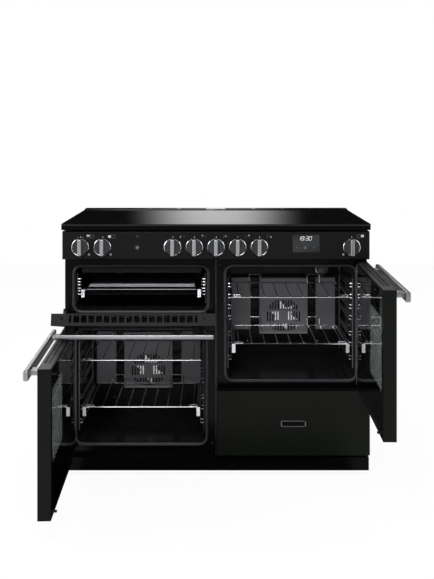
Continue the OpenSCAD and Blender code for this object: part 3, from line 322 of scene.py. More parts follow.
# plating that is handled and scuffed, shiny in some places and dull in others
bright_zinc = new_material("bright_zinc_plated_steel", "#b2b4b6", 0.28, 1.0)
add_grain(bright_zinc, 11.1111, 4.0, shine=(0.18, 0.42))

pad_profile = [(0, 0), (0.0175, 0), (0.019, 0.0012), (0.019, 0.004), (0.0172, 0.0062), (0.01, 0.008),
    (0, 0.008)]
thread_pitch = 0.00175
thread_foot = 0.0075
thread = [(0.006 if i % 2 else 0.0052, thread_foot + i * thread_pitch / 2) for i in range(56)]
nut_corner = 0.0108
nut_height = 0.008
pads = bmesh.new()
studs = bmesh.new()
for x in (-0.48, 0.48):
    for y in (0.04, 0.5345):
        stand = Matrix.Translation((x, y, 0))
        add_turned(pads, pad_profile, stand)
        add_turned(studs, [(0, 0.0074), *thread, (0, 0.057)], stand, 20)
        nut = bmesh.new()
        bmesh.ops.create_cone(nut, cap_ends=True, segments=6, radius1=nut_corner, radius2=nut_corner,
            depth=nut_height, matrix=Matrix.Translation((0, 0, 0.036)))
        bmesh.ops.bevel(nut, geom=nut.edges, offset=0.0006, segments=2, profile=0.5, affect="EDGES",
            material=-1)
        join_part(studs, nut, stand)
finish_piece("foot_pads", pads, "root", nylon, "black_plastic", "levelling_feet")
finish_piece("foot_studs", studs, "root", bright_zinc, "zinc_runner")


# ---- plinth and side panels ----
# Deep-drawn steel under fired black enamel, which is a thin glass. The side panels and the plinth
# are hung on the chassis, with their edges folded in.
def soften(node, edge, material, suffix="_enamelled"):
    """Shows a copy of a folded sheet part with its outer edges rounded, as enamel runs over them."""
    shortest_edge = 0.003
    piece = bpy.data.objects.new(node + suffix, frame["nodes"][node].data.copy())
    bpy.context.scene.collection.objects.link(piece)
    for name in [a.name for a in piece.data.attributes if a.name == "custom_normal"]:
        piece.data.attributes.remove(piece.data.attributes[name])
    bm = bmesh.new()
    bm.from_mesh(piece.data)
    bmesh.ops.remove_doubles(bm, verts=bm.verts, dist=0.000002)
    bmesh.ops.dissolve_limit(bm, angle_limit=math.radians(0.5), verts=bm.verts, edges=bm.edges)
    sharp = [e for e in bm.edges if e.is_manifold and e.is_convex and e.calc_face_angle() > math.radians(40)
        and e.calc_length() > shortest_edge]
    bmesh.ops.bevel(bm, geom=sharp, offset=edge, segments=2, profile=0.5, affect="EDGES", clamp_overlap=True,
        material=-1)
    bm.to_mesh(piece.data)
    bm.free()
    piece.data.shade_smooth()
    piece.data.set_sharp_from_angle(angle=crease)
    piece.data.materials.clear()
    piece.data.materials.append(material)
    piece.modifiers.new("even_shading", "WEIGHTED_NORMAL").keep_sharp = True
    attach(piece, body_of(frame["nodes"][node])[0])
    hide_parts(node)
    return piece


def fire_enamel(name, base, roughness, specks=0.0, gloss=0.15):
    """Enamel of one colour, with a ripple 3 mm across, slow changes of shade, and pale specks where
    it is made for ovens."""
    material = new_material(name, base, roughness, Specular_IOR_Level=gloss)
    tree, shader = parts_of(material)
    at = add_node(tree, "ShaderNodeTexCoord").outputs["Object"]
    slow = add_node(tree, "ShaderNodeTexNoise", {"Scale": scale_of(333.333), "Detail": 2.0}, {"Vector": at})
    light = tuple(min(1, c * 1.35 + 0.001) for c in colour(base)[:3]) + (1,)
    dark = tuple(c * 0.75 for c in colour(base)[:3]) + (1,)
    shade = add_node(tree, "ShaderNodeMix", {"data_type": "RGBA", 6: dark, 7: light}, {0: slow.outputs[0]})
    painted = shade.outputs[2]
    if specks:
        # one speck to a 1.6 mm cell, about 0.5 mm across
        cells = add_node(tree, "ShaderNodeTexVoronoi", {"Scale": scale_of(1.6129)}, {"Vector": at})
        dots = add_node(tree, "ShaderNodeMapRange", {"From Min": 0.16, "From Max": 0.26, "To Min": specks,
            "To Max": 0.0}, {"Value": cells.outputs["Distance"]})
        pale = add_node(tree, "ShaderNodeMix", {"data_type": "RGBA", 7: colour("#8d9093")},
            {0: dots.outputs[0], 6: painted})
        painted = pale.outputs[2]
    ripple = add_node(tree, "ShaderNodeTexNoise", {"Scale": scale_of(3.0303), "Detail": 1.0}, {"Vector": at})
    relief = add_node(tree, "ShaderNodeBump", {"Strength": 0.12, "Distance": 0.0003},
        {"Height": ripple.outputs[0]})
    shine = add_node(tree, "ShaderNodeMapRange", {"To Min": roughness * 0.8, "To Max": roughness * 1.25},
        {"Value": slow.outputs[0]})
    tree.links.new(painted, shader.inputs["Base Color"])
    tree.links.new(shine.outputs[0], shader.inputs["Roughness"])
    tree.links.new(relief.outputs[0], shader.inputs["Normal"])
    return material


# a deep black that mirrors softly, with a faint orange-peel ripple
black_enamel = fire_enamel("gloss_black_enamel", "#060607", 0.22, gloss=0.06)
soften("plinth", 0.0006, black_enamel)
soften("side_panels", 0.0006, black_enamel)


# ---- screws of the back panel and the liners ----
# Bright zinc pan heads, about 6 mm across, with a socket pressed into each. They hold the back panel
# on the chassis, and the liners' back walls on the frame behind them.
def facing(direction, at):
    """Place of a turned part that stands on a surface and points along a direction."""
    return Matrix.Translation(at) @ Vector(direction).to_track_quat("Z", "Y").to_matrix().to_4x4()


# middle, floor, half width and height of each mouth
mouths = {"left_oven": (-0.27, 0.111, 0.229, 0.402), "right_oven": (0.27, 0.34, 0.229, 0.402),
    "grill": (-0.2705, 0.588, 0.235, 0.152)}
screw_head = [(0, 0.0009), (0.0009, 0.0011), (0.0012, 0.0019), (0.0022, 0.0017), (0.003, 0.0009), (0.0031, 0)]
back_places = [(x, z) for x in (-0.48, -0.16, 0.16, 0.48) for z in (0.09, 0.86)]
back_places += [(x, z) for x in (-0.535, 0.535) for z in (0.28, 0.47, 0.66)]
screws = bmesh.new()
for x, z in back_places:
    add_turned(screws, screw_head, facing((0, 1, 0), (x, 0.5559, z)), 16)
for name in ("left_oven", "right_oven"):
    oven_x, oven_floor = mouths[name][:2]
    for x in (-0.142, 0.142):
        add_turned(screws, screw_head, facing((0, -1, 0), (oven_x + x, 0.3721, oven_floor + 0.044)), 16)
finish_piece("sheet_screws", screws, "root", bright_zinc, "zinc_runner")


# ---- front sheets and liners ----
# Two pressed sheets frame the mouths. Behind them hang the liners, which are folded and welded tubes
# with round corners, fired inside and out in a harder oven enamel.

# blue-black, almost without colour, and glossy
front_enamel = fire_enamel("blue_black_enamel", "#040507", 0.2, gloss=0.11)
soften("left_front_frame", 0.0004, front_enamel)
soften("right_front_frame", 0.0004, front_enamel)
# black with fine pale specks, which hide splashes
oven_enamel = fire_enamel("speckled_oven_enamel", "#121214", 0.18, 0.5)
dress(oven_enamel, "left_oven_liner", "right_oven_liner", "grill_liner")


# ---- door seals ----
# A silicone tube round each mouth, on a flat foot that clips into the front sheet. It bends round
# the corners in one piece.
def bend_wire(bm, points, thick, bend=0.006, closed=False, sides=2):
    """Adds a round wire or tube along straight runs, bent to one radius where they meet."""
    line = bpy.data.curves.new("wire", "CURVE")
    line.dimensions = "3D"
    line.bevel_depth = thick / 2
    line.bevel_resolution = sides
    line.resolution_u = 5
    line.use_fill_caps = not closed
    stops = [Vector(p) for p in points]
    knots = []
    for i, stop in enumerate(stops):
        if not closed and i in (0, len(stops) - 1):
            knots.append((stop, stop, stop))
            continue
        back = stops[i - 1] - stop
        ahead = stops[(i + 1) % len(stops)] - stop
        reach = min(bend, back.length * 0.49, ahead.length * 0.49)
        start = stop + back.normalized() * reach
        end = stop + ahead.normalized() * reach
        knots.append((start + back.normalized() * 0.0005, start, start.lerp(stop, 0.55)))
        knots.append((end.lerp(stop, 0.55), end, end + ahead.normalized() * 0.0005))
    run = line.splines.new("BEZIER")
    run.bezier_points.add(len(knots) - 1)
    for point, (left, at, right) in zip(run.bezier_points, knots):
        point.handle_left_type = point.handle_right_type = "FREE"
        point.co, point.handle_left, point.handle_right = at, left, right
    run.use_cyclic_u = closed
    holder = bpy.data.objects.new("wire", line)
    mesh = bpy.data.meshes.new_from_object(holder)
    bm.from_mesh(mesh)
    bpy.data.objects.remove(holder)
    bpy.data.curves.remove(line)
    bpy.data.meshes.remove(mesh)


def frame_corners(x, z, half, high):
    """Corners of an upright ring, from its middle and its half sizes."""
    low, top = z - high, z + high
    return [(x - half, 0, low), (x + half, 0, low), (x + half, 0, top), (x - half, 0, top)]


# grey silicone has a soft grease-like shine, with dust on it and a fine moulded grain
silicone = new_material("moulded_grey_silicone", "#24262a", 0.33, Sheen_Weight=0.1)
add_grain(silicone, 16.6667, 5.0, tints=("#1d1e22", "#32353b"))
add_grain(silicone, 0.55556, relief=(0.2, 0.0001))

seal_gap = 0.008
seals = bmesh.new()
for x, low, half, high in mouths.values():
    # the flat foot on the sheet, and the round tube that stands on it
    for y, thick, flat in ((-0.0025, 0.0098, 0.5), (-0.0077, 0.0072, 1.0)):
        ring = bmesh.new()
        corners = frame_corners(x, low + high / 2, half + seal_gap, high / 2 + seal_gap)
        bend_wire(ring, corners, thick, 0.02 + seal_gap, True, 3)
        join_part(seals, ring, Matrix.Translation((0, y, 0)) @ Matrix.Diagonal((1, flat, 1, 1)))
finish_piece("silicone_seals", seals, "root", silicone, "seal_rubber", "door_seals")


# ---- fans, ring elements, fan covers and oven lamps ----
# Each fan is stamped from aluminium sheet and turns inside its ring element, behind a pressed cover
# that is screwed to the liner. The lamp is a fluted glass dome in a steel ring.
def add_block(bm, low, high, edge=0.0, place=Matrix(), steps=2):
    """Adds a block between two corners, with its edges rounded."""
    part = bmesh.new()
    middle = (Vector(low) + Vector(high)) / 2
    size = Vector(high) - Vector(low)
    bmesh.ops.create_cube(part, size=1.0, matrix=Matrix.Translation(middle) @ Matrix.Diagonal((*size, 1)))
    if edge:
        bmesh.ops.bevel(part, geom=part.edges, offset=edge, segments=steps, profile=0.5, affect="EDGES",
            material=-1)
    join_part(bm, part, place)


# fresh rolled sheet is bright, with fine lines along it
rolled_aluminium = new_material("rolled_aluminium_sheet", "#e2e3e5", 0.2, 1.0)
add_grain(rolled_aluminium, 6.25, 3.0, shine=(0.14, 0.3), relief=(0.15, 0.0001), stretch=(1, 1, 12))
# the blades behind the star are a cloudy dark grey
dark_aluminium = new_material("dark_grey_aluminium", "#4a4a4c", 0.5, 1.0)
add_grain(dark_aluminium, 16.6667, 4.0, tints=("#3a3a3c", "#5c5c5e"))
dress(dark_aluminium, "left_fan", "right_fan")

# the front plate of each fan: a stamped star with six arms, and the nut that holds it
fan_heights = {"left": 0.281, "right": 0.497}
star_root = 0.031
star_reach = 1.9
star_thick = 0.0012
nut_profile = [(0, 0.0045), (0.0042, 0.0045), (0.005, 0.0038), (0.005, 0.0008)]
for side, fan_z in fan_heights.items():
    hub = facing((0, -1, 0), (mouths[side + "_oven"][0], 0.3299, fan_z))
    star = bmesh.new()
    bmesh.ops.create_circle(star, cap_ends=True, segments=12, radius=star_root)
    tips = list(star.verts)[::2]
    bmesh.ops.scale(star, vec=(star_reach, star_reach, 1), verts=tips)
    bmesh.ops.rotate(star, cent=(0, 0, 0), matrix=Matrix.Rotation(math.radians(9), 3, "Z"), verts=tips)
    bmesh.ops.bevel(star, geom=tips, offset=0.003, segments=3, profile=0.5, affect="VERTICES", material=-1)
    bmesh.ops.solidify(star, geom=star.faces[:], thickness=star_thick)
    plate = bmesh.new()
    turned = Matrix.Rotation(math.radians(4), 4, "Z")
    join_part(plate, star, hub @ Matrix.Translation((0, 0, star_thick / 2)) @ turned)
    add_turned(plate, nut_profile, hub, 12)
    finish_piece(side + "_fan_star", plate, side + "_fan_rotor", rolled_aluminium, "fan_aluminium")

# the sheath of an element goes brown-black with heat, unevenly
heated_steel = new_material("sheathed_element_steel", "#33302d", 0.5, 1.0)
add_grain(heated_steel, 40, 4.0, tints=("#262321", "#413d3a"))
dress(heated_steel, "heating_elements")
dress(zinc_sheet, "fan_motors", "door_hinges")

# mid grey over the cover; its deep channels, 34 mm wide, are painted near black as painted shade in the
# grooves
cover_enamel = fire_enamel("dark_grey_cover_enamel", "#98989d", 0.42)
channel_x = 0.1135
channel_half = 0.0169
tree, shader = parts_of(cover_enamel)
aside = add_node(tree, "ShaderNodeMath", {"operation": "ABSOLUTE"}, {0: position_x(tree)})
from_middle = add_node(tree, "ShaderNodeMath", {"operation": "SUBTRACT", 1: mouths["right_oven"][0]},
    {0: aside.outputs[0]})
offset = add_node(tree, "ShaderNodeMath", {"operation": "ABSOLUTE"}, {0: from_middle.outputs[0]})
# painted shade: the colour inside each channel is darkened to near black
channel = add_node(tree, "ShaderNodeMath", {"operation": "COMPARE", 1: channel_x, 2: channel_half},
    {0: offset.outputs[0]})
painted_channel_shade = add_node(tree, "ShaderNodeMix", {"data_type": "RGBA", 7: colour("#1c1c1e")},
    {0: channel.outputs[0], 6: shader.inputs["Base Color"].links[0].from_socket})
tree.links.new(painted_channel_shade.outputs[2], shader.inputs["Base Color"])
dress(cover_enamel, "fan_covers")

# stainless sheet with brushed lines that stretch its highlights sideways
pressed_steel = new_material("satin_stainless_steel", "#9b9c9e", 0.34, 1.0)
add_grain(pressed_steel, 7.14286, 3.0, shine=(0.26, 0.44), relief=(0.12, 0.0001), stretch=(1, 14, 14))
# pressed glass, clear but for a little frost from years of heat
lamp_glass = new_material("fluted_lamp_glass", "#d9d6cc", 0.12, Transmission_Weight=0.6)
add_grain(lamp_glass, 5, shine=(0.05, 0.25))

flutes = 24
dome = [(0, 0.0135), (0.008, 0.0128), (0.0145, 0.0095), (0.0185, 0.0045), (0.0195, 0)]
ring_profile = [(0.0195, 0), (0.0195, 0.003), (0.021, 0.005), (0.0245, 0.0045), (0.025, 0.003),
    (0.025, -0.004)]
ridges = bmesh.new()
lips = bmesh.new()
cover_screws = bmesh.new()
lenses = bmesh.new()
rings = bmesh.new()
for side, fan_z in fan_heights.items():
    middle = Vector((mouths[side + "_oven"][0], 0.32, fan_z))
    # the arch that is pressed over the grille, and the bright lip under it
    arch = [middle + Vector((0.092 * math.sin(a), 0.0006, 0.046 + 0.036 * math.cos(a)))
        for a in (math.radians(d) for d in range(-84, 85, 14))]
    bend_wire(ridges, arch, 0.0034, 0.012)
    add_block(lips, middle + Vector((-0.094, -0.0012, -0.0718)), middle + Vector((0.094, 0.0004, -0.067)),
        0.0005)
    for z in (0.13, -0.04):
        for x in (-0.17, 0.17):
            add_turned(cover_screws, screw_head, facing((0, -1, 0), middle + Vector((x, 0.0101, z))), 16)
    at = facing((0, -1, 0), middle + Vector((0.157, 0.047, 0.178)))
    add_turned(lenses, dome, at, 40)
    lean = Matrix.Rotation(0.35, 4, "Y") @ Matrix.Translation((0.001, 0, 0.002))
    for spoke in range(flutes):
        turn = at @ Matrix.Rotation(spoke * math.tau / flutes, 4, "Z")
        add_block(lenses, (0.006, -0.0006, 0.0085), (0.017, 0.0006, 0.0117), 0.0004, turn @ lean, 1)
    add_turned(rings, ring_profile, at, 40)
finish_piece("cover_arches", ridges, "root", cover_enamel, "grey_enamel")
finish_piece("cover_lips", lips, "root", pressed_steel, "stainless_steel")
finish_piece("cover_screws", cover_screws, "root", bright_zinc, "zinc_runner")
finish_piece("lamp_domes", lenses, "root", lamp_glass, "lamp_lens", "oven_lamps")
finish_piece("lamp_rings", rings, "root", pressed_steel, "stainless_steel")


# ---- side racks and fixed runners ----
# Chromed wire ladders, bent and spot-welded: each pair of rungs comes out from a hairpin upright on
# the wall and runs back to a second upright. The channels for the slides hook on the lower rungs.

# bright chrome, which catches the light as thin white lines
chrome_wire = new_material("chromed_steel_wire", "#dadade", 0.08, 1.0)
add_grain(chrome_wire, 8.33333, 4.0, shine=(0.08, 0.24))
# the same chrome in a soft dark grey; on the uprights by the cavity walls this grey is painted shade
dark_chrome = new_material("dark_grey_chrome_wire", "#6c6c70", 0.25, 1.0)
add_grain(dark_chrome, 8.33333, 4.0, shine=(0.25, 0.4))
dress(bright_zinc, "fixed_runners")

pair_half = 0.006
pair_heights = (0.072, 0.121, 0.16, 0.2175, 0.257, 0.295, 0.335)
oven_levels = [level + s * pair_half for level in pair_heights for s in (-1, 1)]
grill_levels = [0.054, 0.0655, 0.076, 0.088, 0.099, 0.11]
for mouth, (x, low, half, high) in mouths.items():
    levels = grill_levels if mouth == "grill" else oven_levels
    rung_gap = 0.0165 if mouth == "grill" else 0.0145
    foot = low + levels[0] - 0.03
    top = low + levels[-1] + 0.022
    ladders = bmesh.new()
    uprights = bmesh.new()
    for s in (-1, 1):
        wall = x + s * (half - 0.0023)
        rung = x + s * (half - rung_gap)
        behind = rung + s * 0.0038
        hairpin = [(wall, 0.008, foot), (wall, 0.008, top), (wall, 0.017, top), (wall, 0.017, foot)]
        bend_wire(uprights, hairpin, 0.0038, 0.0045)
        bend_wire(uprights, [(behind, 0.284, foot), (behind, 0.284, top)], 0.0048)
        for z in levels:
            bend_wire(ladders, [(wall, 0.0125, low + z), (rung, 0.0125, low + z), (rung, 0.288, low + z)],
                0.004, 0.005)
    nodes = ["side_racks"] if mouth == "left_oven" else []
    finish_piece(mouth + "_ladders", ladders, "root", chrome_wire, "chrome_wire", *nodes)
    # painted shade: the uprights take the dark grey chrome instead of the bright chrome
    finish_piece(mouth + "_uprights", uprights, "root", dark_chrome, "chrome_wire")


# ---- oven shelves ----
# Chromed wire shelves: a heavy front rod, a bent frame, nine thin wires along the depth, low guards
# at the front corners and two loops at the back. The lower ones lie on pull-out slides.
def add_hoop(bm, start, end, y, z, high, thick, bend):
    """Adds a wire hoop that stands on a rod, from one X to another."""
    bend_wire(bm, [(start, y, z), (start, y, z + high), (end, y, z + high), (end, y, z)], thick, bend)


def add_shelf(bm, x, z, half, front=0.002, depth=0.288):
    """Adds a wire shelf at a height, between its side rods."""
    back = front + depth
    thin_z = z + 0.00345
    bend_wire(bm, [(x - half, front, z), (x - half, back, z), (x + half, back, z), (x + half, front, z)],
        0.005, 0.008)
    bend_wire(bm, [(x - half - 0.001, front, z), (x + half + 0.001, front, z)], 0.006, sides=3)
    for i in range(-4, 5):
        wire_x = x + i * 0.047
        bend_wire(bm, [(wire_x, front - 0.002, thin_z), (wire_x, back + 0.002, thin_z)], 0.0035)
        # each thin wire ends in a weld bead on the front rod
        bead = bmesh.new()
        bmesh.ops.create_icosphere(bead, subdivisions=2, radius=0.0023)
        join_part(bm, bead, Matrix.Translation((wire_x, front - 0.0015, thin_z)))
    for s in (-1, 1):
        add_hoop(bm, x + s * (half - 0.004), x + s * (half - 0.032), front, z, 0.008, 0.0035, 0.004)
        add_hoop(bm, x + s * 0.092, x + s * 0.14, back, z, 0.033, 0.004, 0.007)


def add_slides(bm, x, top, outer, tab):
    """Adds a pair of pressed slides with the tab that is folded down at each front end."""
    # each fold: from and to this far in from the outer side, then its depths and its heights
    folds = ((0.0125, 0.0015, -0.002, 0.28, -0.0135, -0.0033), (0.0125, 0.0095, -0.002, 0.28, -0.0135, 0),
        (0.0125, 0.001, -0.002, 0.28, -0.0012, 0), (0.0125, 0, -0.0045, -0.002, 0.005 - tab, 0.005))
    for s in (-1, 1):
        for inner, edge, front, back, low, high in folds:
            left, right = sorted((x + s * (outer - inner), x + s * (outer - edge)))
            add_block(bm, (left, front, top + low), (right, back, top + high), 0.0005)


for side in ("left", "right"):
    x, low = mouths[side + "_oven"][:2]
    upper = bmesh.new()
    add_shelf(upper, x, low + 0.2938, 0.2125)
    finish_piece(side + "_upper_wires", upper, side + "_upper_rack", chrome_wire, "chrome_wire",
        side + "_upper_shelf")
    lower = bmesh.new()
    add_shelf(lower, x, low + 0.125, 0.2047)
    add_slides(lower, x, low + 0.1217, 0.2122, 0.033)
    finish_piece(side + "_lower_wires", lower, side + "_lower_rack", chrome_wire, "chrome_wire",
        side + "_lower_shelf")


# ---- grill carriage, pan and trivet ----
# A chromed wire carriage on slides carries an enamelled pan by its rim. The trivet in it is a close
# grid of thin bright rods on a bent frame.
grill_x = mouths["grill"][0]
rod_z = 0.6608
rod_y = (0.006, 0.326)
reach = 0.2087
carriage = bmesh.new()
bend_wire(carriage, [(grill_x - reach, rod_y[0], rod_z), (grill_x - reach, rod_y[1], rod_z),
    (grill_x + reach, rod_y[1], rod_z), (grill_x + reach, rod_y[0], rod_z)], 0.005, 0.012, True)
add_hoop(carriage, grill_x - 0.07, grill_x + 0.07, rod_y[1], rod_z, 0.03, 0.0035, 0.008)
for s in (-1, 1):
    add_hoop(carriage, grill_x + s * 0.12, grill_x + s * 0.165, rod_y[1], rod_z, 0.012, 0.0035, 0.006)
finish_piece("carriage_wires", carriage, "grill_tray", dark_chrome, "chrome_wire", "grill_carriage")
slides = bmesh.new()
add_slides(slides, grill_x, 0.658, 0.2162, 0.029)
finish_piece("carriage_slides", slides, "grill_tray", chrome_wire, "chrome_wire")

# the pan is drawn from one sheet: a flat rim, a rounded shoulder, the wall and the floor
rim_z = rod_z + 0.004
pan = bmesh.new()
bmesh.ops.create_grid(pan, x_segments=1, y_segments=1, size=0.5)
pan_place = Matrix.Translation((grill_x, 0.166, rim_z)) @ Matrix.Diagonal((0.418, 0.3, 1, 1))
bmesh.ops.transform(pan, matrix=pan_place, verts=pan.verts)
bmesh.ops.bevel(pan, geom=pan.verts, offset=0.018, segments=6, profile=0.5, affect="VERTICES", material=-1)
pan_floor = pan.faces[:]
for inset, drop in ((0.023, 0.0), (0.003, -0.004), (0.003, -0.0205), (0.004, -0.0228)):
    bmesh.ops.inset_region(pan, faces=pan_floor, thickness=inset, use_even_offset=True)
    for corner in {v for f in pan_floor for v in f.verts}:
        corner.co.z = rim_z + drop
bmesh.ops.recalc_face_normals(pan, faces=pan.faces)
if pan_floor[0].normal.z < 0:
    bmesh.ops.reverse_faces(pan, faces=pan.faces)
bmesh.ops.solidify(pan, geom=pan.faces[:], thickness=0.0011)
finish_piece("grill_pan_enamelled", pan, "grill_tray", oven_enamel, "oven_enamel", "grill_pan")

trivet = bmesh.new()
wire_z = rim_z + 0.0028
for y in (0.028, 0.304):
    bend_wire(trivet, [(grill_x - 0.196, y, wire_z), (grill_x + 0.196, y, wire_z)], 0.005)
for s in (-1, 1):
    for x in (grill_x + s * 0.194, grill_x + s * 0.0647):
        bend_wire(trivet, [(x, 0.024, wire_z), (x, 0.308, wire_z)], 0.005)
for i in range(32):
    y = 0.0325 + i * 0.0086
    bend_wire(trivet, [(grill_x - 0.192, y, wire_z + 0.003), (grill_x + 0.192, y, wire_z + 0.003)], 0.003,
        sides=1)
finish_piece("trivet_wires", trivet, "grill_tray", dark_chrome, "chrome_wire", "grill_trivet")


# ---- oven doors ----
# A pressed steel casing with two rows of vents along its top, a wide inner pane and a smaller window
# pane. A bar handle on two cast brackets is screwed to its front.

# green-black enamel with a soft sheen; the flat faces along the top, round the vents, are a lighter grey as
# painted light from above
door_enamel = fire_enamel("green_black_door_enamel", "#111410", 0.3, gloss=0.09)
painted_top_light = fire_enamel("mid_grey_painted_light_top_enamel", "#313235", 0.35)
for side in ("left", "right"):
    shell = soften(side + "_door_shell", 0.0008, door_enamel)
    shell.data.materials.append(painted_top_light)
    top = max(v.co.z for v in shell.data.vertices)
    # painted light: the upward faces at the top take the lighter grey, where light from above falls on them
    for face in shell.data.polygons:
        if face.normal.z > 0.9 and face.center.z > top - 0.002:
            face.material_index = 1

# toughened float glass: clear and faintly grey-green, a little more in some places
door_glass = new_material("toughened_door_glass", "#cfd4d4", 0.0, Transmission_Weight=1.0)
add_grain(door_glass, 125, 3.0, tints=("#c9cecd", "#d6dada"))
dress(door_glass, "left_door_glass", "right_door_glass", "grill_door_glass")

# brush lines run along each bar, which lies along X on the grill and along Y on the open doors, so
# that its highlight spreads over its height
satin_bar = new_material("brushed_stainless_bar", "#a6a7aa", 0.32, 1.0)
add_grain(satin_bar, 3.33333, 4.0, shine=(0.26, 0.42), relief=(0.1, 0.0001), stretch=(0.25, 0.25, 9))


def swing(pin, angle, axis, lift=0):
    """Place of a piece of a shut door once the door is lifted to its oven and swung on its pin."""
    raised = Matrix.Translation((pin[0], pin[1], pin[2] + lift))
    return raised @ Matrix.Rotation(math.radians(angle), 4, axis) @ Matrix.Translation([-v for v in pin])


def add_handle(bar, brackets, low_x, high_x, z, place):
    """Adds a bar with round edges, and its two brackets on their pads, as on a closed door."""
    add_block(bar, (low_x, -0.096, z - 0.0155), (high_x, -0.08, z + 0.0155), 0.0048, place, 4)
    for x in (low_x + 0.055, high_x - 0.055):
        add_block(brackets, (x - 0.0175, -0.085, z - 0.0085), (x + 0.0175, -0.052, z + 0.0085), 0.003,
            place, 3)
        add_block(brackets, (x - 0.0205, -0.0545, z - 0.0115), (x + 0.0205, -0.052, z + 0.0115), 0.001,
            place, 2)


# the left door is the right one's mirror image
mirror_x = Matrix.Diagonal((-1, 1, 1, 1))
for side, place in (("left", swing((-0.526, -0.034, 0), -88.3, "Z", 0.081) @ mirror_x),
        ("right", swing((0.526, -0.034, 0), 89, "Z", 0.315))):
    handle = bmesh.new()
    add_handle(handle, handle, 0.0085, 0.5395, 0.427, place)
    finish_piece(side + "_door_bar", handle, side + "_door", satin_bar, "satin_handle",
        side + "_door_handle")


# ---- grill door ----
# The same casing, hinged at its foot and laid on its back when open. Its top edge has one row of
# large vents and a screw recess at each end.

# dark grey enamel, fired matt
grill_enamel = fire_enamel("dark_grey_casing_enamel", "#272829", 0.4)
soften("grill_door_shell", 0.0008, grill_enamel)
dropped = swing((0, -0.044, 0.5445), 76, "X")
handle = bmesh.new()
brackets = bmesh.new()
add_handle(handle, brackets, -0.5415, -0.0055, 0.742, dropped)
finish_piece("grill_door_bar", handle, "grill_door", satin_bar, "satin_handle", "grill_door_handle")
# painted shade: the grill bar's brackets take the black enamel, where the same satin brackets lie in shade
finish_piece("grill_bar_brackets_painted_shade", brackets, "grill_door", black_enamel, "satin_handle")
recess_screws = bmesh.new()
for x in (-0.511, -0.039):
    add_turned(recess_screws, screw_head, dropped @ facing((0, 0, 1), (x, -0.029, 0.7631)), 16)
finish_piece("casing_screws", recess_screws, "grill_door", black_enamel, "black_enamel")


# ---- drawer ----
# A front folded from steel sheet, in the doors' enamel, on a folded box. A bare black plate lies on
# it, held by a raised bright rim.
soften("drawer_front", 0.0012, door_enamel)
plate_x, plate_z = 0.275, 0.194
badge = bmesh.new()
add_block(badge, (plate_x - 0.043, -0.0531, plate_z - 0.01), (plate_x + 0.043, -0.052, plate_z + 0.01),
    0.0004)
finish_piece("bare_badge", badge, "drawer", black_enamel, "stainless_steel", "badge_plate")
rim = bmesh.new()
bend_wire(rim, frame_corners(plate_x, plate_z, 0.0428, 0.0096), 0.0028, 0.004, True)
rim_ring = bmesh.new()
join_part(rim_ring, rim, Matrix.Translation((0, -0.0529, 0)))
finish_piece("badge_rim", rim_ring, "drawer", satin_bar, "stainless_steel")


# ---- hob ----
# Black glass ceramic with a polished edge, glued on an enamelled rim over copper coils. The vent
# strip behind it has four slots on each side of a plain middle.

# almost a mirror, but for smears a few centimetres across
glass_ceramic = new_material("black_glass_ceramic", "#050506", 0.08)
add_grain(glass_ceramic, 71.4286, 3.0, shine=(0.06, 0.1))
soften("hob_glass", 0.002, glass_ceramic, "_polished")
soften("hob_tray", 0.0008, black_enamel)

# black paint with a powdery grain; the plain middle, 80 mm long, is left as bare satin steel
vent_paint = new_material("satin_black_paint", "#131313", 0.12)
bare_middle = -0.002
bare_half = 0.04
tree, shader = parts_of(vent_paint)
bare = add_node(tree, "ShaderNodeMath", {"operation": "COMPARE", 1: bare_middle, 2: bare_half},
    {0: position_x(tree)})
tint = add_node(tree, "ShaderNodeMix", {"data_type": "RGBA", 6: colour("#131313"), 7: colour("#b4b4b6")},
    {0: bare.outputs[0]})
tree.links.new(tint.outputs[2], shader.inputs["Base Color"])
tree.links.new(bare.outputs[0], shader.inputs["Metallic"])
add_grain(vent_paint, 1.11111, relief=(0.3, 0.0002))
soften("rear_vent_trim", 0.0006, vent_paint, "_painted")

# lacquered copper wire, brown to orange from turn to turn
copper = new_material("enamelled_copper_wire", "#8a4a2c", 0.35, 1.0)
add_grain(copper, 3.33333, tints=("#6e3a22", "#a5603c"))
dress(copper, "induction_coils")


# ---- control panel ----
# A folded panel, enamelled and then screen-printed in white and grey. It closes the front under the
# hob, with moulded switch housings behind it.

# brown-black and satin, so that the signs read clearly
panel_enamel = fire_enamel("satin_panel_enamel", "#141212", 0.38)
soften("control_panel", 0.0006, panel_enamel)
# mid grey with the fine grain of its mould
switch_plastic = new_material("moulded_grey_plastic", "#6d6e70", 0.5)
add_grain(switch_plastic, 0.83333, relief=(0.25, 0.0002))
dress(switch_plastic, "control_switches", "terminal_box")

panel_y = -0.055
button_x = -0.2795
knob_x = (-0.482, -0.4035, -0.154, -0.077, 0, 0.077, 0.154, 0.482)
knob_z = 0.8226
sign_z = 0.861
prints = bmesh.new()
dim_prints = bmesh.new()


def print_mark(bm, x, z, wide, high):
    """Prints a small bar on the panel's face, as thick as the ink."""
    low = (x - wide / 2, panel_y - 0.00012, z - high / 2)
    add_block(bm, low, (x + wide / 2, panel_y + 0.0002, z + high / 2))


for x in knob_x:
    print_mark(prints, x + 0.001, 0.8582, 0.0016, 0.0045)
for x in (-0.4905, -0.4735):
    print_mark(dim_prints, x, 0.8568, 0.006, 0.0015)

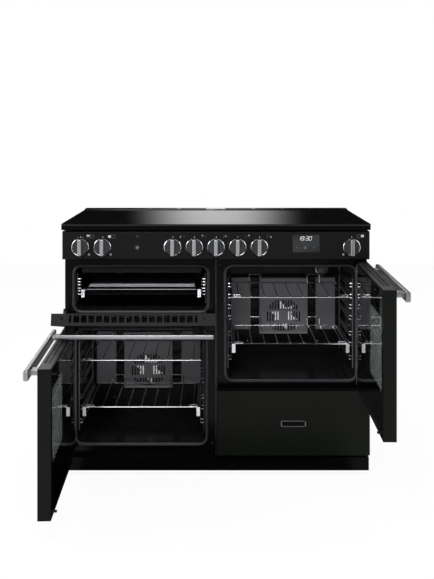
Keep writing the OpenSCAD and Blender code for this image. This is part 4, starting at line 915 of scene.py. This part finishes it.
# cooker signs: two boxes side by side, with the cavity that the knob works filled in
box_x = 0.0068
cooker_z = 0.8605
line = 0.0009
sides = ((0, 0.0058, 0.012, line), (0, -0.0058, 0.012, line), (-0.0056, 0, line, 0.0125),
    (0.0056, 0, line, 0.0125))
for x, (cavity_x, cavity_z, wide, high) in ((-0.447, (-box_x, 0.0032, 0.0096, 0.0058)),
        (-0.3715, (-box_x, -0.0002, 0.0096, 0.0085)), (0.5135, (box_x, 0.0018, 0.0096, 0.0085))):
    print_mark(prints, x + cavity_x, cooker_z + cavity_z, wide, high)
    full_box = high > 0.006
    for s in (-1, 1):
        if full_box and s * cavity_x > 0:
            continue
        for dx, dz, side_wide, side_high in sides:
            print_mark(dim_prints, x + s * box_x + dx, cooker_z + dz, side_wide, side_high)

# hob signs: five dots, the zone that the knob works the larger one
zone_dots = ((-0.0072, -0.003), (-0.0058, 0.0032), (0, 0), (0.0058, 0.0032), (0.0072, -0.003))
for zone, x in enumerate((-0.1195, -0.0425, 0.0345, 0.1115, 0.1885)):
    for i, (dx, dz) in enumerate(zone_dots):
        size = 0.0034 if i == zone else 0.0018
        print_mark(prints if i == zone else dim_prints, x + dx, sign_z + dz, size, size)
print_ring = bmesh.new()
bend_wire(print_ring, frame_corners(button_x, sign_z, 0.003, 0.003), 0.0008, 0.003, True)
join_part(dim_prints, print_ring, Matrix.Translation((0, panel_y, 0)) @ Matrix.Diagonal((1, 0.3, 1, 1)))

# opaque ink, a little uneven where the screen's mesh held less of it
ink = new_material("white_screen_print", "#dcdcdc", 0.5)
add_grain(ink, 0.4, tints=("#c8c8c8", "#ececec"))
# the same ink in grey, which steps back behind the white signs
grey_ink = new_material("grey_screen_print", "#6a6a6a", 0.5)
add_grain(grey_ink, 0.4, tints=("#5c5c5c", "#7a7a7a"))
finish_piece("white_prints", prints, "root", ink, "panel_enamel")
finish_piece("grey_prints", dim_prints, "root", grey_ink, "panel_enamel")


# ---- clock ----
# A tinted pane glued in a cut-out of the panel. Its digits and touch signs are lit by a small module
# behind it and seem to lie in the pane.

# smoked glass, glossy under a thin film of touch marks
display = new_material("tinted_display_glass", "#1d2124", 0.12)
add_grain(display, 25, shine=(0.1, 0.16))
soften("clock_display", 0.0004, display, "_pane")

# digits that glow a cold white, a touch uneven along each bar
lit = new_material("lit_display_digits", "#ffffff", 0.4, Emission_Strength=0.9)
add_grain(lit, 1.11111, tints=("#dfe6ee", "#ffffff"), tinted="Emission Color")

# which of the seven bars each figure lights: top, two upper sides, middle, two lower sides, bottom
bars_of = {"1": "0010010", "8": "1111111", "3": "1011011", "0": "1110111"}
figure_high, figure_wide, stroke = 0.0136, 0.0082, 0.0009
# place of each bar in half sizes of the figure, and whether it stands upright
bars = ((0, 1, False), (-1, 0.5, True), (1, 0.5, True), (0, 0, False), (-1, -0.5, True), (1, -0.5, True),
    (0, -1, False))
pane_y = -0.0556
clock_x = 0.3175
slant = Matrix(((1, 0, 0.18, 0), (0, 1, 0, 0), (0, 0, 1, 0), (0, 0, 0, 1)))
clock_place = Matrix.Translation((clock_x, pane_y, 0.8538)) @ slant
digits = bmesh.new()
for x, figure in ((-0.0215, "1"), (-0.0095, "8"), (0.0065, "3"), (0.0180, "0")):
    for shown, (dx, dz, stands) in zip(bars_of[figure], bars):
        if shown == "0":
            continue
        run = (figure_high / 2 if stands else figure_wide) * 0.84
        wide, high = (stroke, run) if stands else (run, stroke)
        bar_x = x + dx * figure_wide / 2
        bar_z = dz * figure_high / 2
        low = (bar_x - wide / 2, -0.0003, bar_z - high / 2)
        add_block(digits, low, (bar_x + wide / 2, 0.0003, bar_z + high / 2), 0.0002, clock_place, 1)
for dz in (-0.003, 0.003):
    add_block(digits, (-0.0012, -0.0003, dz - 0.0006), (0, 0.0003, dz + 0.0006), 0.0002, clock_place, 1)
finish_piece("clock_figures", digits, "root", lit, "display_glass")


def light_mark(bm, low_x, high_x, low_z, high_z):
    """Adds a thin lit bar that lies in the pane."""
    add_block(bm, (low_x, pane_y - 0.0002, low_z), (high_x, pane_y + 0.0002, high_z))


# the touch signs: less, more, and a small clock between them
touch = bmesh.new()
for x in (0.2877, 0.3477):
    light_mark(touch, x - 0.0022, x + 0.0022, 0.8204, 0.8212)
light_mark(touch, 0.3477 - 0.0004, 0.3477 + 0.0004, 0.8186, 0.823)
dial = bmesh.new()
bend_wire(dial, frame_corners(clock_x, 0.8208, 0.004, 0.004), 0.0009, 0.004, True)
join_part(touch, dial, Matrix.Translation((0, pane_y, 0)) @ Matrix.Diagonal((1, 0.3, 1, 1)))
light_mark(touch, 0.3172, 0.3178, 0.8208, 0.8233)
light_mark(touch, 0.3172, 0.319, 0.8205, 0.8211)
# the same light turned low, a dim blue-grey
dim_light = new_material("dim_display_signs", "#7d858c", 0.4, Emission_Color=colour("#aab4bd"),
    Emission_Strength=0.18)
add_grain(dim_light, 1.11111, tints=("#727a81", "#8a929a"))
finish_piece("clock_touch_signs", touch, "root", dim_light, "display_glass")


# ---- knobs, rings, lamps and light button ----
# Each knob is a moulded disc with a metal grip bar, pushed on its switch's shaft inside a chrome ring
# that is pressed into the panel. The signal lenses are small domes, and the light button is dished.

# plated and buffed: bright, with hardly any haze
polished_chrome = new_material("polished_chrome", "#e4e5e7", 0.1, 1.0)
add_grain(polished_chrome, 6.66667, 3.0, shine=(0.06, 0.16))
# bead-blasted before it is plated, so that its highlights spread
satin_chrome = new_material("satin_chrome", "#c2c3c7", 0.34, 1.0)
add_grain(satin_chrome, 0.625, relief=(0.12, 0.0001))
# dark grey plastic that takes a soft shine from its mould
disc_plastic = new_material("graphite_knob_plastic", "#2b2d30", 0.35)
add_grain(disc_plastic, 0.714286, relief=(0.15, 0.0001))

ring_profile = [(0.028, 0), (0.028, 0.005), (0.0286, 0.0058), (0.0296, 0.006), (0.0306, 0.0052),
    (0.031, 0.0038), (0.031, 0)]
knob_rings = bmesh.new()
for x in knob_x:
    add_turned(knob_rings, ring_profile, facing((0, -1, 0), (x, panel_y, knob_z)), 64)
finish_piece("knob_ring_set", knob_rings, "root", polished_chrome, "chrome_ring", "knob_rings")

disc_profile = [(0, 0.01), (0.0255, 0.01), (0.0268, 0.0094), (0.0275, 0.0082), (0.0275, 0.0008),
    (0.0268, 0.0005), (0.003, 0.0005), (0.003, -0.0175), (0, -0.0178)]
grip_half = 0.00675
grip_reach = 0.029
knob_names = ("grill", "left_oven", "zone_1", "zone_2", "zone_3", "zone_4", "zone_5", "right_oven")
for name, x in zip(knob_names, knob_x):
    disc = bmesh.new()
    add_turned(disc, disc_profile, facing((0, -1, 0), (x, panel_y, knob_z)), 64)
    finish_piece(name + "_knob_disc", disc, name + "_knob", disc_plastic, "satin_knob", "knob_" + name)
    grip = bmesh.new()
    add_block(grip, (x - grip_half, panel_y - 0.028, knob_z - grip_reach),
        (x + grip_half, panel_y - 0.0065, knob_z + grip_reach), 0.0028, steps=4)
    finish_piece(name + "_knob_grip", grip, name + "_knob", satin_chrome, "satin_knob")

# clear plastic with a frosted inside, pale grey while unlit
lens_plastic = new_material("frosted_signal_lens", "#8f9093", 0.25)
add_grain(lens_plastic, 1.11111, tints=("#85868a", "#a2a3a7"))
lens_profile = [(0, 0.0015), (0.0022, 0.0012), (0.0036, 0.0005), (0.004, 0), (0.004, -0.01), (0, -0.01)]
lamps = bmesh.new()
for x in (-0.4515, -0.374, 0.4525):
    add_turned(lamps, lens_profile, facing((0, -1, 0), (x, panel_y, 0.796)), 32)
finish_piece("signal_lenses", lamps, "root", lens_plastic, "signal_lens", "indicator_lamps")

cap_profile = [(0, 0.0016), (0.003, 0.0017), (0.0066, 0.0028), (0.0078, 0.004), (0.0088, 0.004),
    (0.0096, 0.0032), (0.0097, 0), (0.0097, -0.007), (0.003, -0.007), (0.003, -0.018), (0, -0.018)]
button = bmesh.new()
add_turned(button, cap_profile, facing((0, -1, 0), (button_x, panel_y, knob_z)), 48)
finish_piece("light_button_cap", button, "lamp_button", disc_plastic, "satin_knob", "light_button")

# a painted highlight on the dished button, in white ink and shaped as a light bulb: its globe, and two bars
# for its cap
globe_radius = 0.0028
globe = [(globe_radius * math.sin(a), 0, 0.0012 + globe_radius * math.cos(a))
    for a in (math.radians(d) for d in range(-150, 151, 30))]
bulb = bmesh.new()
bend_wire(bulb, [(-0.0009, 0, -0.0034), *globe, (0.0009, 0, -0.0034)], 0.0009, 0.0008)
for dz in (-0.0036, -0.0048):
    add_block(bulb, (-0.0013, -0.0002, dz - 0.0004), (0.0013, 0.0002, dz + 0.0004))
bulb_place = Matrix.Translation((button_x, panel_y - 0.0017, knob_z))
button_highlight = bmesh.new()
join_part(button_highlight, bulb, bulb_place @ Matrix.Diagonal((1, 0.25, 1, 1)))
finish_piece("light_button_painted_highlight", button_highlight, "lamp_button", ink, "satin_knob")
